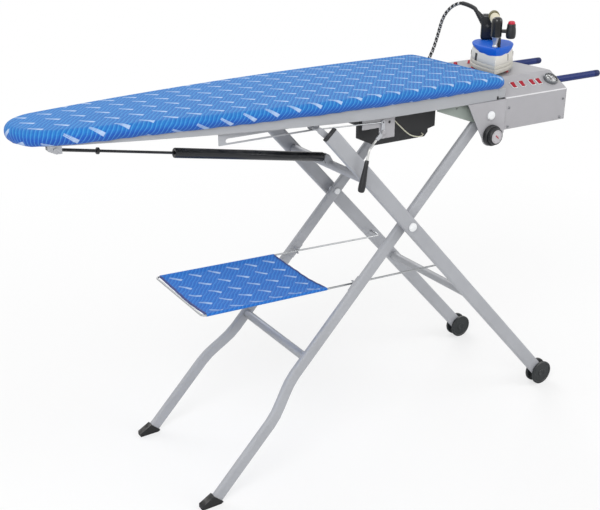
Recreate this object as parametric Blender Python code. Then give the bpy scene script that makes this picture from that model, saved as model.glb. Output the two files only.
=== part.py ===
"""Vacuum ironing table with a steam generator, an iron and a shelf, on folding crossed legs.

Metres, +Z up. +X points from the board's nose to the generator, -Y to the side with the lever
and the knob. Local x is 0 at the pivot where the legs cross, and an empty named table carries
everything, so that the finished table stands centred over the world's origin.
"""
import math

import bmesh
import bpy
from mathutils import Matrix, Vector

for old in list(bpy.data.objects):
    bpy.data.objects.remove(old, do_unlink=True)

# Clearances shared by all pieces
WELD = 0.00001
GAP = 0.0003
RUN_GAP = 0.0006
OVERRUN = 0.004
ROUND_SIDES = 18
SMALL_SIDES = 12

# Board outline, seen from above
NOSE_X = -0.905
REAR_X = 0.285
HALF_WIDTH = 0.190
NOSE_HALF_WIDTH = 0.0935
NOSE_LENGTH = 0.075
TAPER_END_X = 0.050
REAR_ROUND_LENGTH = 0.085
REAR_POWER = 8.0

# Board heights and walls
TRAY_TOP_Z = 0.909
TRAY_DEPTH = 0.030
TRAY_NOSE_DEPTH = 0.005
TRAY_SLOPE_START_X = -0.100
TRAY_SLOPE_END_X = -0.850
TRAY_WALL = 0.0015
TRAY_INSET = 0.012
PLATE_THICKNESS = 0.0015
PLATE_HOLE_RADIUS = 0.004
PLATE_HOLE_PITCH = 0.080
PLATE_HOLE_MARGIN = 0.035
PAD_THICKNESS = 0.024
PAD_ROUND = 0.008
COVER_THICKNESS = 0.0024
COVER_DROP = 0.0055
COVER_CROWN = 0.0022
COVER_ROUND = 0.012

# Crossed legs
PIVOT_DROP = 0.3124
PIVOT_Z = TRAY_TOP_Z - PIVOT_DROP
B_PIVOT_X = 0.239
B_PIVOT_DROP = 0.0655
B_PIVOT_Z = TRAY_TOP_Z - B_PIVOT_DROP
B_LEG_WIDTH = 0.030
A_LEG_WIDTH = 0.038
LEG_THICKNESS = 0.015
LEG_WALL = 0.0015
LEG_CORNER = 0.005
A_LEG_Y = 0.179
B_LEG_Y = 0.152
FOOT_Y = 0.184
FOOT_HEIGHT = 0.016
FOOT_TOE = 0.032
FOOT_TOE_HEIGHT = 0.010
FOOT_HEEL = 0.006
FOOT_OVERHANG = 0.002
JOGGLE_START = 0.462
JOGGLE_LENGTH = 0.130
A_LEG_ANGLE = math.radians(47.7)
A_LEG_REACH = 0.360
GUIDE_X = -0.263
GUIDE_DROP = 0.035
GUIDE_Z = TRAY_TOP_Z - GUIDE_DROP
WHEEL_RADIUS = 0.035
WHEEL_THICKNESS = 0.008
WHEEL_SIDES = 20
WHEEL_ROUND = 0.0025
WHEEL_HUB_RISE = 0.001
AXLE_RADIUS = 0.004
AXLE_END = 0.012
BOLT_RADIUS = 0.005
BOLT_HEAD_RADIUS = 0.0105
BOLT_HEAD_RISE = 0.005
NUT_RADIUS = 0.0085
NUT_HEIGHT = 0.005
CAP_DEPTH = 0.004
CROSSBAR_RADIUS = 0.011
CROSSBAR_WALL = 0.0015
A_UPPER_BAR_REACH = 0.180
A_LOWER_BAR_REACH = 0.336
B_BAR_REACH = 0.414

# Guide for the top ends of the wheeled legs
GUIDE_Y = 0.133
GUIDE_THICKNESS = 0.003
GUIDE_LOW_DROP = 0.0435
GUIDE_LOW_Z = TRAY_TOP_Z - GUIDE_LOW_DROP
GUIDE_MARGIN = 0.016
GUIDE_SLOT_GAP = 0.0017
GUIDE_PIN_RADIUS = 0.0035
SLIDE_ARM_THICKNESS = 0.003
SLIDE_ARM_WIDTH = 0.014
SLIDE_ARM_OVERLAP = 0.050

# Gas spring on the centre line
SPRING_EYE_X = -0.134
SPRING_EYE_DROP = 0.158
SPRING_EYE_Z = TRAY_TOP_Z - SPRING_EYE_DROP
SPRING_NOSE_X = -0.810
SPRING_NOSE_DROP = 0.035
SPRING_NOSE_Z = TRAY_TOP_Z - SPRING_NOSE_DROP
SPRING_TUBE_LENGTH = 0.415
SPRING_TUBE_RADIUS = 0.0117
SPRING_TUBE_WALL = 0.0013
SPRING_ROD_RADIUS = 0.0025
SPRING_ROD_LENGTH = 0.330
SPRING_SLEEVE_RADIUS = 0.0036
SPRING_SLEEVE_LENGTH = 0.070
SPRING_COLLAR_RADIUS = 0.0075
SPRING_COLLAR_LENGTH = 0.006
SPRING_EYE_RADIUS = 0.0085
SPRING_EYE_WIDTH = 0.010
SPRING_PIN_RADIUS = 0.0035
SPRING_EAR = 0.003
SPRING_NOSE_GAP = 0.020

# Shelf
SHELF_SCREW_REACH = 0.2075
SHELF_ROD_Y = 0.128
SHELF_ROD_RADIUS = 0.0025
SHELF_TILT = math.radians(2.6)
SHELF_LEFT = 0.692
SHELF_RIGHT = 0.352
SHELF_CLOTH_THICKNESS = 0.0035
SHELF_CLOTH_SAG = 0.006
SHELF_RIPPLES = 3
SHELF_RIPPLE = 0.0012
SHELF_BRACKET_THICKNESS = 0.003
SHELF_BRACKET_WIDTH = 0.024
SHELF_BRACKET_HEIGHT = 0.044
SHELF_BRACKET_REACH = 0.196
SHELF_RING_RADIUS = 0.0085
SHELF_RING_HOLE = 0.0062
SHELF_RING_WIDTH = 0.005

# Fan under the board
FAN_LEFT_X = -0.121
FAN_RIGHT_X = 0.090
FAN_SPOUT_X = 0.112
FAN_MIDDLE_X = 0.016
FAN_STEP_Z = 0.834
FAN_CUT_Y = -0.108
FAN_CUT_HIGH_Y = -0.045
FAN_CUT_LOW_Y = 0.057
FAN_CUT_SLOPE = 0.724
FAN_SEAM_X = 0.050
FAN_LOW_DROP = 0.11
FAN_LOW_Z = TRAY_TOP_Z - FAN_LOW_DROP
FAN_SPOUT_LOW_DROP = 0.087
FAN_SPOUT_LOW_Z = TRAY_TOP_Z - FAN_SPOUT_LOW_DROP
FAN_HALF_WIDTH = 0.118
FAN_WALL = 0.0025
FAN_LEAD_RADIUS = 0.0015
FAN_CHAMFER_X = 0.048
FAN_CHAMFER_Z = 0.024
FAN_RIM = 0.010
MOTOR_RADIUS = 0.042
MOTOR_HEIGHT = 0.040
MOTOR_SHAFT_RADIUS = 0.005
MOTOR_SHAFT_HEIGHT = 0.026
IMPELLER_RADIUS = 0.070
IMPELLER_DISC = 0.003
IMPELLER_BLADE_HEIGHT = 0.016
IMPELLER_BLADE_THICKNESS = 0.002
IMPELLER_HUB_RADIUS = 0.012
IMPELLER_BLADES = 10

# Steam generator
GEN_FRONT_X = 0.288
GEN_REAR_X = 0.505
GEN_HALF_WIDTH = 0.1775
GEN_FLAT_HALF_WIDTH = 0.112
GEN_LOW_DROP = 0.11
GEN_LOW_Z = TRAY_TOP_Z - GEN_LOW_DROP
GEN_SHOULDER_DROP = 0.029
GEN_SHOULDER_Z = TRAY_TOP_Z - GEN_SHOULDER_DROP
GEN_RISE = 0.0085
GEN_TOP_Z = TRAY_TOP_Z + GEN_RISE
GEN_WALL = 0.0015
BOILER_RADIUS = 0.042
BOILER_WALL = 0.002
BOILER_LENGTH = 0.165
BOILER_NECK_RADIUS = 0.009
BOILER_DOME = 0.016
BOILER_Y = 0.040
HANDLE_Y = 0.110
HANDLE_DROP = 0.0215
HANDLE_Z = TRAY_TOP_Z - HANDLE_DROP
HANDLE_LENGTH = 0.195
HANDLE_RADIUS = 0.0092
HANDLE_WALL = 0.002
STUD_RADIUS = 0.0048
STUD_HEIGHT = 0.0085
STUD_FIRST_X = 0.3355
STUD_PITCH_X = 0.051
STUD_PITCH_Y = 0.071
STUD_COLUMNS = 2
STUD_ROWS = 3
SWITCH_SHARES = (0.258, 0.396, 0.558, 0.668)
SWITCH_SLOPE_SHARE = 0.52
SWITCH_LENGTH = 0.017
SWITCH_WIDTH = 0.011
SWITCH_RISE = 0.0035
SWITCH_TRAVEL = math.radians(12)
GAUGE_SHARE = 0.866
GAUGE_RADIUS = 0.0195
GAUGE_RISE = 0.008
GAUGE_WALL = 0.0022
GAUGE_NEEDLE_LENGTH = 0.013
GAUGE_NEEDLE_WIDTH = 0.0016
GAUGE_NEEDLE_THICKNESS = 0.0008
GAUGE_HUB_RADIUS = 0.0022
KNOB_X = 0.243
KNOB_DROP = 0.116
KNOB_Z = TRAY_TOP_Z - KNOB_DROP
KNOB_RADIUS = 0.0265
KNOB_FACE_RADIUS = 0.0225
KNOB_SKIRT = 0.013
KNOB_DEPTH = 0.024
INLET_RISE = 0.030
INLET_WIDTH = 0.028
INLET_HEIGHT = 0.022
INLET_DEPTH = 0.012

# Plates that carry the generator and the footed legs
BRACKET_THICKNESS = 0.0025
BRACKET_LEFT_X = 0.163
BRACKET_RIGHT_X = 0.2877
ARM_LEFT_X = 0.079
ARM_LOW_DROP = 0.097
ARM_LOW_Z = TRAY_TOP_Z - ARM_LOW_DROP
ARM_THICKNESS = 0.003
ARM_NOSE = 0.008
ARM_BEND_X = 0.188
ARM_BEND_DROP = 0.078
ARM_BEND_Z = TRAY_TOP_Z - ARM_BEND_DROP
ARM_HOLE_X = 0.139
GUSSET_Y = 0.1638
COLLAR_RADIUS = 0.008

# Release lever under the near edge
LEVER_X = -0.083
LEVER_DROP = 0.066
LEVER_Z = TRAY_TOP_Z - LEVER_DROP
LEVER_Y = -0.163
LEVER_GRIP_Y = -0.2045
LEVER_WIRE_RADIUS = 0.0027
LEVER_CRANK = 0.024
LEVER_CRANK_WIDTH = 0.010
LEVER_CRANK_THICKNESS = 0.003
GRIP_TOP_X = -0.157
GRIP_TOP_DROP = 0.112
GRIP_TOP_Z = TRAY_TOP_Z - GRIP_TOP_DROP
GRIP_LEAN = -0.21
LEVER_BRACKET_LEFT = 0.057
LEVER_BRACKET_STEP = 0.0085
LEVER_BRACKET_RIGHT = 0.036
LEVER_BRACKET_DROP = 0.024
LEVER_BRACKET_THICKNESS = 0.0025
LEVER_BRACKET_LOW = 0.016
LEVER_WIRE_BACK = 0.006
LEVER_WIRE_UP = 0.024
GRIP_LENGTH = 0.076
GRIP_END_RADIUS = 0.0085
GRIP_NECK_RADIUS = 0.0048
PULL_ROD_RADIUS = 0.0016
PULL_ROD_LEFT_X = -0.250
PULL_ROD_EYE = 0.009

# Iron on its rest
IRON_TIP_X = 0.302
IRON_TIP_Y = -0.116
IRON_HEADING = math.radians(50.5)
IRON_LENGTH = 0.200
IRON_HALF_WIDTH = 0.056
IRON_SHOULDER = 0.135
IRON_STEP = 0.002
IRON_TIP_RISE = 0.006
IRON_SHIELD_ROUND = 0.004
IRON_SOLE = 0.012
IRON_BODY_TOP = 0.046
IRON_SHIELD_TOP = 0.055
IRON_GRIP_Z = 0.125
IRON_GRIP_RADIUS = 0.0125
STEM_FRONT = 0.036
STEM_REAR = 0.177
STEM_REAR_HALF = 0.013
STEM_REAR_LEFT = 0.031
STEM_REAR_RIGHT = -0.011
STEM_REAR_CORNER = 0.005
STEM_RADIUS = 0.0135
STEM_LOW = 0.090
STEM_TOP = 0.139
PILLAR_RADIUS = 0.005
RELIEF_RADIUS = 0.0078
RELIEF_LENGTH = 0.045
RELIEF_HEIGHT = 0.100
RELIEF_ACROSS = 0.018
RELIEF_WAY = Vector((-0.25, 0.65, 0.72)).normalized()
BUTTON_ARM = 0.010
BUTTON_ARM_RADIUS = 0.0045
BUTTON_HOUSING_RADIUS = 0.0125
BUTTON_LOW = 0.086
BUTTON_TOP = 0.119
BUTTON_RISE = 0.008
BUTTON_TRAVEL = 0.003
BUTTON_STEM = 0.004
BUTTON_STEM_RADIUS = 0.006

# Steam hose
HOSE_RADIUS = 0.0046
COIL_X = 0.190
COIL_DROP = 0.077
COIL_Z = TRAY_TOP_Z - COIL_DROP
COIL_RADIUS = 0.0634
COIL_STEP = 0.0104
COIL_NEAR_Y = 0.1955
COIL_TURNS = 5.5
COIL_LAYERS = 4
COIL_POINTS_PER_TURN = 24
HOOK_RADIUS = 0.004
HOOK_END_RADIUS = 0.009
HOOK_END_THICKNESS = 0.002
HOOK_END_Y = 0.236
GLAND_RADIUS = 0.0085
GLAND_LENGTH = 0.015
GLAND_X = 0.306
GLAND_DROP = 0.077
GLAND_Z = TRAY_TOP_Z - GLAND_DROP
HOSE_ROUTE = (
    (0.378, 0.100, 1.075), (0.3725, 0.125, 1.070), (0.370, 0.150, 1.054), (0.3675, 0.170, 1.028),
    (0.3715, 0.188, 0.993), (0.370, 0.196, 0.966), (0.363, 0.200, 0.938), (0.3545, 0.205, 0.913),
    (0.345, 0.206, 0.880), (0.332, 0.206, 0.845), (0.308, 0.205, 0.810), (0.270, 0.2015, 0.785),
    (0.230, 0.198, 0.7725))
HOSE_LEAD_ROUTE = (
    (0.230, 0.2262, 0.8945), (0.260, 0.2245, 0.887), (0.284, 0.221, 0.868), (0.299, 0.214, 0.846))
FAN_LEAD_ROUTE = (
    (-0.050, -0.134, 0.8780), (-0.026, -0.134, 0.856), (0.018, -0.134, 0.8175), (0.050, -0.133, 0.806),
    (0.065, -0.130, 0.8065), (0.070, -0.1240, 0.809), (0.070, -0.1187, 0.809))

# Colours, roughness and metallic share of each finish
FINISHES = {
    "silver_paint": ((0.62, 0.63, 0.66), 0.38, 0.35),
    "grey_sheet": ((0.66, 0.66, 0.68), 0.42, 0.25),
    "steel": ((0.72, 0.72, 0.72), 0.25, 0.95),
    "white_plastic": ((0.90, 0.90, 0.90), 0.45, 0.0),
    "black_plastic": ((0.030, 0.030, 0.032), 0.45, 0.0),
    "black_rubber": ((0.035, 0.035, 0.035), 0.75, 0.0),
    "blue_fabric": ((0.080, 0.260, 0.720), 0.90, 0.0),
    "felt": ((0.82, 0.80, 0.74), 0.95, 0.0),
    "blue_tube": ((0.045, 0.085, 0.300), 0.30, 0.0),
    "blue_plastic": ((0.015, 0.110, 0.620), 0.35, 0.0),
    "red_silicone": ((0.550, 0.020, 0.030), 0.50, 0.0),
    "aluminium": ((0.80, 0.80, 0.80), 0.30, 0.9),
    "cork": ((0.72, 0.58, 0.40), 0.80, 0.0),
    "braid": ((0.12, 0.12, 0.12), 0.80, 0.0),
}


def finish(name):
    """Return the material of one finish, made on its first use."""
    if name in bpy.data.materials:
        return bpy.data.materials[name]
    material = bpy.data.materials.new(name)
    material.use_nodes = True
    colour, roughness, metallic = FINISHES[name]
    shader = material.node_tree.nodes["Principled BSDF"]
    shader.inputs["Base Color"].default_value = (*colour, 1.0)
    shader.inputs["Roughness"].default_value = roughness
    shader.inputs["Metallic"].default_value = metallic
    return material


def empty(name, parent=None, location=(0, 0, 0)):
    """Add an empty, which groups what moves together."""
    holder = bpy.data.objects.new(name, None)
    bpy.context.collection.objects.link(holder)
    holder.parent = parent
    holder.location = location
    return holder


def piece(name, bm, material, parent, origin=(0, 0, 0), smooth=True):
    """Turn a bmesh in table coordinates into a named object whose origin is at origin."""
    bmesh.ops.remove_doubles(bm, verts=bm.verts, dist=WELD)
    bmesh.ops.recalc_face_normals(bm, faces=bm.faces)
    mesh = bpy.data.meshes.new(name)
    bm.to_mesh(mesh)
    bm.free()
    obj = bpy.data.objects.new(name, mesh)
    bpy.context.collection.objects.link(obj)
    mesh.transform(Matrix.Translation(-Vector(origin)))
    if smooth:
        mesh.shade_smooth()
        mesh.set_sharp_from_angle(angle=math.radians(35))
    mesh.materials.append(finish(material))
    obj.parent = parent
    obj.location = Vector(origin) - offset_in_table(parent)
    return obj


def offset_in_table(holder):
    """Return where a holder stands in table coordinates."""
    place = Vector((0, 0, 0))
    while holder is not None and holder.name != "table":
        place += holder.location
        holder = holder.parent
    return place


def add_prism(bm, outline, low, high, axis="y"):
    """Add an extruded outline: (x, z) points along Y, (y, z) points along X or (x, y) along Z."""
    def place(point, level):
        if axis == "y":
            return (point[0], level, point[1])
        if axis == "x":
            return (level, point[0], point[1])
        return (point[0], point[1], level)
    base = [bm.verts.new(place(p, low)) for p in outline]
    face = bm.faces.new(base)
    moved = bmesh.ops.extrude_face_region(bm, geom=[face])
    top = [v for v in moved["geom"] if isinstance(v, bmesh.types.BMVert)]
    shift = Vector(place((0, 0), high)) - Vector(place((0, 0), low))
    bmesh.ops.translate(bm, verts=top, vec=shift)
    return base + top


def square_to(direction):
    """Return a level direction square to another, or X where the other points up."""
    level = direction.cross(Vector((0, 0, 1)))
    if level.length < abs(direction.z):
        return direction.cross(Vector((0, 1, 0))).normalized()
    return level.normalized()


def add_lathe(bm, profile, centre, axis, sides=ROUND_SIDES):
    """Spin (radius, height) points about axis through centre; the ends lie on the axis."""
    direction = Vector(axis).normalized()
    side = square_to(direction)
    made = []
    for radius, height in profile:
        made.append(bm.verts.new(Vector(centre) + direction * height + side * radius))
    edges = [bm.edges.new((a, b)) for a, b in zip(made, made[1:])]
    spun = bmesh.ops.spin(bm, geom=made + edges, cent=Vector(centre), axis=direction,
                          angle=math.tau, steps=sides, use_merge=True)
    return spun


def add_rod(bm, start, end, radius, sides=SMALL_SIDES):
    """Add a solid round rod between two points."""
    start, end = Vector(start), Vector(end)
    length = (end - start).length
    add_lathe(bm, [(0, 0), (radius, 0), (radius, length), (0, length)], start, end - start, sides)


def add_pipe(bm, start, end, radius, wall, sides=SMALL_SIDES):
    """Add a round pipe with open ends."""
    start, end = Vector(start), Vector(end)
    direction = (end - start).normalized()
    side = square_to(direction)
    length = (end - start).length
    corners = [(radius, 0), (radius, length), (radius - wall, length), (radius - wall, 0)]
    made = [bm.verts.new(start + direction * h + side * r) for r, h in corners]
    edges = [bm.edges.new((a, b)) for a, b in zip(made, made[1:] + made[:1])]
    bmesh.ops.spin(bm, geom=made + edges, cent=start, axis=direction,
                   angle=math.tau, steps=sides, use_merge=True)


def disc_outline(x, z, radius, sides=SMALL_SIDES):
    """Return the points of a circle."""
    return [(x + radius * math.cos(math.tau * i / sides), z + radius * math.sin(math.tau * i / sides))
            for i in range(sides)]


def combine(target, cutters, operation):
    """Cut closed shapes, given as a bmesh in table coordinates, out of a piece, or join them to it."""
    bmesh.ops.remove_doubles(cutters, verts=cutters.verts, dist=WELD)
    bmesh.ops.recalc_face_normals(cutters, faces=cutters.faces)
    mesh = bpy.data.meshes.new(target.name + "_cutter")
    cutters.to_mesh(mesh)
    cutters.free()
    tool = bpy.data.objects.new(target.name + "_cutter", mesh)
    bpy.context.collection.objects.link(tool)
    tool.parent = table
    tool.hide_render = True
    tool.display_type = "WIRE"
    modifier = target.modifiers.new(operation.lower(), "BOOLEAN")
    modifier.operation = operation
    modifier.solver = "EXACT"
    modifier.object = tool


SIDES = {"near": -1, "far": 1}
TABLE_X = -(NOSE_X + GEN_REAR_X + HANDLE_LENGTH) / 2
TABLE_Y = -(HOOK_END_Y + LEVER_GRIP_Y - GRIP_END_RADIUS) / 2
table = empty("table", None, (TABLE_X, TABLE_Y, 0))

# Places that follow from the sizes above
B_LEG_ANGLE = math.atan2(B_PIVOT_Z - PIVOT_Z, B_PIVOT_X)
B_UP = Vector((math.cos(B_LEG_ANGLE), 0, math.sin(B_LEG_ANGLE)))
A_UP = Vector((-math.cos(A_LEG_ANGLE), 0, math.sin(A_LEG_ANGLE)))
PIVOT = Vector((0, 0, PIVOT_Z))
B_PIVOT = Vector((B_PIVOT_X, 0, B_PIVOT_Z))
B_PIVOT_REACH = (B_PIVOT - PIVOT).length
WHEEL_REACH = (PIVOT_Z - WHEEL_RADIUS) / math.sin(A_LEG_ANGLE)
WHEEL_CENTRE = PIVOT - A_UP * WHEEL_REACH
FOOT_REACH = (PIVOT_Z - FOOT_HEIGHT) / math.sin(B_LEG_ANGLE)
SHELF_SCREW = PIVOT - A_UP * SHELF_SCREW_REACH
A_UPPER_BAR = PIVOT + A_UP * A_UPPER_BAR_REACH
A_LOWER_BAR = PIVOT - A_UP * A_LOWER_BAR_REACH
B_BAR = PIVOT - B_UP * B_BAR_REACH
GUIDE = Vector((GUIDE_X, 0, GUIDE_Z))
SPRING_EYE = Vector((SPRING_EYE_X, 0, SPRING_EYE_Z))
SPRING_NOSE = Vector((SPRING_NOSE_X, 0, SPRING_NOSE_Z))
SPRING_AXIS = (SPRING_NOSE - SPRING_EYE).normalized()
LEVER_PIVOT = Vector((LEVER_X, LEVER_Y, LEVER_Z))
FOLD_TRAVEL = 0.213
SLOPE_RUN = GEN_HALF_WIDTH - GEN_FLAT_HALF_WIDTH
SLOPE_RISE = GEN_TOP_Z - GEN_SHOULDER_Z
SLOPE_NORMAL = Vector((0, -SLOPE_RISE, SLOPE_RUN)).normalized()
SLOPE_UP = Vector((0, SLOPE_RUN, SLOPE_RISE)).normalized()
IRON_Z = GEN_TOP_Z + STUD_HEIGHT + GAP
IRON_ALONG = Vector((math.cos(IRON_HEADING), math.sin(IRON_HEADING), 0))
IRON_LEFT = Vector((-math.sin(IRON_HEADING), math.cos(IRON_HEADING), 0))
IRON_TIP = Vector((IRON_TIP_X, IRON_TIP_Y, IRON_Z))

frame_b = empty("frame_b", table, B_PIVOT)
frame_a = empty("frame_a", frame_b, PIVOT - B_PIVOT)
wheel_holders = {}
for label, side in SIDES.items():
    wheel_place = WHEEL_CENTRE - PIVOT + Vector((0, side * A_LEG_Y, 0))
    wheel_holders[label] = empty("wheel_holder_" + label, frame_a, wheel_place)
shelf = empty("shelf", frame_a, SHELF_SCREW - PIVOT)
spring_tube = empty("cylinder_holder", frame_a, SPRING_EYE - PIVOT)
spring_rod = empty("rod_holder", table, SPRING_NOSE)
lever_holder = empty("lever_holder", table, LEVER_PIVOT)
iron = empty("iron", table, IRON_TIP)
fan_rotor = empty("fan_rotor", table, (FAN_MIDDLE_X, 0, FAN_LOW_Z))
pull_holder = empty("pull_holder", table, LEVER_PIVOT)
RELIEF_ROOT = (IRON_TIP + IRON_ALONG * STEM_REAR + IRON_LEFT * RELIEF_ACROSS
               + Vector((0, 0, RELIEF_HEIGHT)))


def half_outline(inset=0.0):
    """Return (x, half width) points from the nose tip to the middle of the rear edge."""
    bend = (HALF_WIDTH - NOSE_HALF_WIDTH) / (TAPER_END_X - NOSE_X - NOSE_LENGTH) ** 2
    taper_x = NOSE_X + NOSE_LENGTH
    slope = math.atan(2 * bend * (TAPER_END_X - taper_x))
    nose_radius = NOSE_HALF_WIDTH / math.cos(slope)
    nose_centre = taper_x + nose_radius * math.sin(slope)
    nose_steps, taper_steps, rear_steps = 8, 10, 8
    points = []
    for i in range(nose_steps):
        angle = (math.pi / 2 - slope) * i / nose_steps
        points.append((nose_centre - nose_radius * math.cos(angle), nose_radius * math.sin(angle)))
    first = points[0][0]
    points = [(x - first + NOSE_X, w) for x, w in points]
    for i in range(taper_steps):
        x = taper_x + (TAPER_END_X - taper_x) * i / taper_steps
        points.append((x, HALF_WIDTH - bend * (TAPER_END_X - x) ** 2))
    round_start = REAR_X - REAR_ROUND_LENGTH
    points.append((TAPER_END_X, HALF_WIDTH))
    for i in range(rear_steps + 1):
        angle = math.pi / 2 * (1 - i / rear_steps)
        x = round_start + REAR_ROUND_LENGTH * max(math.cos(angle), 0) ** (2 / REAR_POWER)
        w = HALF_WIDTH * max(math.sin(angle), 0) ** (2 / REAR_POWER)
        points.append((x, w if i < rear_steps else 0))
    if inset == 0:
        return points
    full = [(x, w) for x, w in points] + [(x, -w) for x, w in reversed(points[1:-1])]
    moved = []
    for i in range(len(points)):
        before, after = full[i - 1], full[(i + 1) % len(full)]
        tangent = Vector((after[0] - before[0], after[1] - before[1])).normalized()
        normal = Vector((tangent.y, -tangent.x))
        moved.append((points[i][0] + normal.x * inset, max(points[i][1] + normal.y * inset, 0)))
    moved[0] = (points[0][0] + inset, 0)
    moved[-1] = (points[-1][0] - inset, 0)
    return moved


def add_board_layers(bm, layers):
    """Add one closed body from (inset, z or function of x) loops, capped at both ends."""
    loops = []
    for inset, level in layers:
        half = half_outline(inset)
        height = level if callable(level) else (lambda x, value=level: value)
        upper = [bm.verts.new((x, w, height(x))) for x, w in half]
        lower = [bm.verts.new((x, -w, height(x))) for x, w in half[1:-1]]
        loops.append((upper, lower))
    for (up_a, low_a), (up_b, low_b) in zip(loops, loops[1:]):
        ring_a = up_a + low_a[::-1]
        ring_b = up_b + low_b[::-1]
        for i in range(len(ring_a)):
            j = (i + 1) % len(ring_a)
            bm.faces.new((ring_a[i], ring_a[j], ring_b[j], ring_b[i]))
    for upper, lower in (loops[0], loops[-1]):
        bm.faces.new((upper[0], upper[1], lower[0]))
        for i in range(len(lower) - 1):
            bm.faces.new((upper[i + 1], upper[i + 2], lower[i + 1], lower[i]))
        bm.faces.new((upper[-2], upper[-1], lower[-1]))


def tray_bottom(x):
    """Return the height of the tray's underside, which rises towards the nose."""
    share = (TRAY_SLOPE_START_X - x) / (TRAY_SLOPE_START_X - TRAY_SLOPE_END_X)
    share = min(max(share, 0), 1)
    return TRAY_TOP_Z - TRAY_DEPTH + share * (TRAY_DEPTH - TRAY_NOSE_DEPTH)


def make_board():
    """Tray, perforated plate, felt pad and fabric cover, stacked from below."""
    bm = bmesh.new()
    add_board_layers(bm, [
        (TRAY_INSET + TRAY_WALL, lambda x: tray_bottom(x) + TRAY_WALL),
        (TRAY_INSET + TRAY_WALL, TRAY_TOP_Z),
        (TRAY_INSET, TRAY_TOP_Z),
        (TRAY_INSET, tray_bottom)])
    tray = piece("suction_tray", bm, "silver_paint", table)
    holes = bmesh.new()
    add_prism(holes, disc_outline(FAN_MIDDLE_X, 0, IMPELLER_RADIUS * 0.8, ROUND_SIDES),
              TRAY_TOP_Z - TRAY_DEPTH - OVERRUN, TRAY_TOP_Z - OVERRUN, "z")
    combine(tray, holes, "DIFFERENCE")

    plate_low = TRAY_TOP_Z + GAP
    plate_high = plate_low + PLATE_THICKNESS
    bm = bmesh.new()
    add_board_layers(bm, [(TRAY_INSET, plate_low), (TRAY_INSET, plate_high)])
    plate = piece("perforated_plate", bm, "steel", table)
    holes = bmesh.new()
    columns = int((REAR_X - NOSE_X) / PLATE_HOLE_PITCH)
    rows = int(HALF_WIDTH / PLATE_HOLE_PITCH)
    half = half_outline()
    for i in range(1, columns):
        x = NOSE_X + i * PLATE_HOLE_PITCH
        width = next(w for place, w in half if place >= x)
        for j in range(-rows, rows + 1):
            y = j * PLATE_HOLE_PITCH
            if abs(y) < width - PLATE_HOLE_MARGIN and x < REAR_X - PLATE_HOLE_MARGIN:
                add_prism(holes, disc_outline(x, y, PLATE_HOLE_RADIUS, 6),
                          plate_low - OVERRUN, plate_high + OVERRUN, "z")
    combine(plate, holes, "DIFFERENCE")

    pad_low = plate_high + GAP
    pad_high = pad_low + PAD_THICKNESS
    pocket = COVER_THICKNESS + GAP
    bm = bmesh.new()
    add_board_layers(bm, [
        (pocket, pad_low), (pocket, pad_high - PAD_ROUND),
        (pocket + PAD_ROUND * 0.3, pad_high - PAD_ROUND * 0.3),
        (pocket + PAD_ROUND, pad_high),
        (pocket + PAD_ROUND * 4, pad_high)])
    piece("felt_pad", bm, "felt", table)

    low = TRAY_TOP_Z - COVER_DROP
    top = pad_high + GAP + COVER_THICKNESS
    bm = bmesh.new()
    add_board_layers(bm, [
        (COVER_THICKNESS + PAD_ROUND * 4, pad_high + GAP),
        (COVER_THICKNESS + PAD_ROUND, pad_high + GAP),
        (COVER_THICKNESS + PAD_ROUND * 0.3, pad_high - PAD_ROUND * 0.3 + GAP),
        (COVER_THICKNESS, pad_high - PAD_ROUND),
        (COVER_THICKNESS, low + COVER_THICKNESS),
        (TRAY_INSET - GAP, low + COVER_THICKNESS),
        (TRAY_INSET - GAP, low),
        (COVER_THICKNESS, low),
        (0, low + COVER_THICKNESS * 1.5),
        (0, top - COVER_ROUND),
        (COVER_ROUND * 0.3, top - COVER_ROUND * 0.3),
        (COVER_ROUND, top),
        (COVER_ROUND * 3, top + COVER_CROWN * 0.6),
        (COVER_ROUND * 5, top + COVER_CROWN)])
    piece("board_cover", bm, "blue_fabric", table)


def leg_profile(width, thickness, corner, steps=2):
    """Return the rounded rectangle of a leg, as (across, along Y) points."""
    points = []
    for quarter in range(4):
        sign_u = 1 if quarter in (0, 3) else -1
        sign_v = 1 if quarter in (0, 1) else -1
        for i in range(steps + 1):
            angle = math.pi / 2 * (quarter + i / steps)
            points.append((sign_u * (width / 2 - corner) + corner * math.cos(angle),
                           sign_v * (thickness / 2 - corner) + corner * math.sin(angle)))
    return points


def add_leg(bm, path, across, width):
    """Add a hollow flat tube along path; across is the direction of its width."""
    rings = []
    for profile in (leg_profile(width, LEG_THICKNESS, LEG_CORNER),
                    leg_profile(width - 2 * LEG_WALL, LEG_THICKNESS - 2 * LEG_WALL,
                                LEG_CORNER - LEG_WALL)):
        rings.append([[bm.verts.new(Vector(spot) + Vector(across) * u + Vector((0, v, 0)))
                       for u, v in profile] for spot in path])
    outer, inner = rings
    count = len(outer[0])
    for skin in (outer, inner):
        for ring_a, ring_b in zip(skin, skin[1:]):
            for i in range(count):
                j = (i + 1) % count
                bm.faces.new((ring_a[i], ring_a[j], ring_b[j], ring_b[i]))
    for end in (0, -1):
        for i in range(count):
            j = (i + 1) % count
            bm.faces.new((outer[end][i], outer[end][j], inner[end][j], inner[end][i]))


def hole_cutter(places, radius, sides=SMALL_SIDES):
    """Return a bmesh of round cutters along Y; places are (point, y low, y high)."""
    bm = bmesh.new()
    for point, low, high in places:
        add_prism(bm, disc_outline(point.x, point.z, radius, sides), low, high, "y")
    return bm


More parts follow.
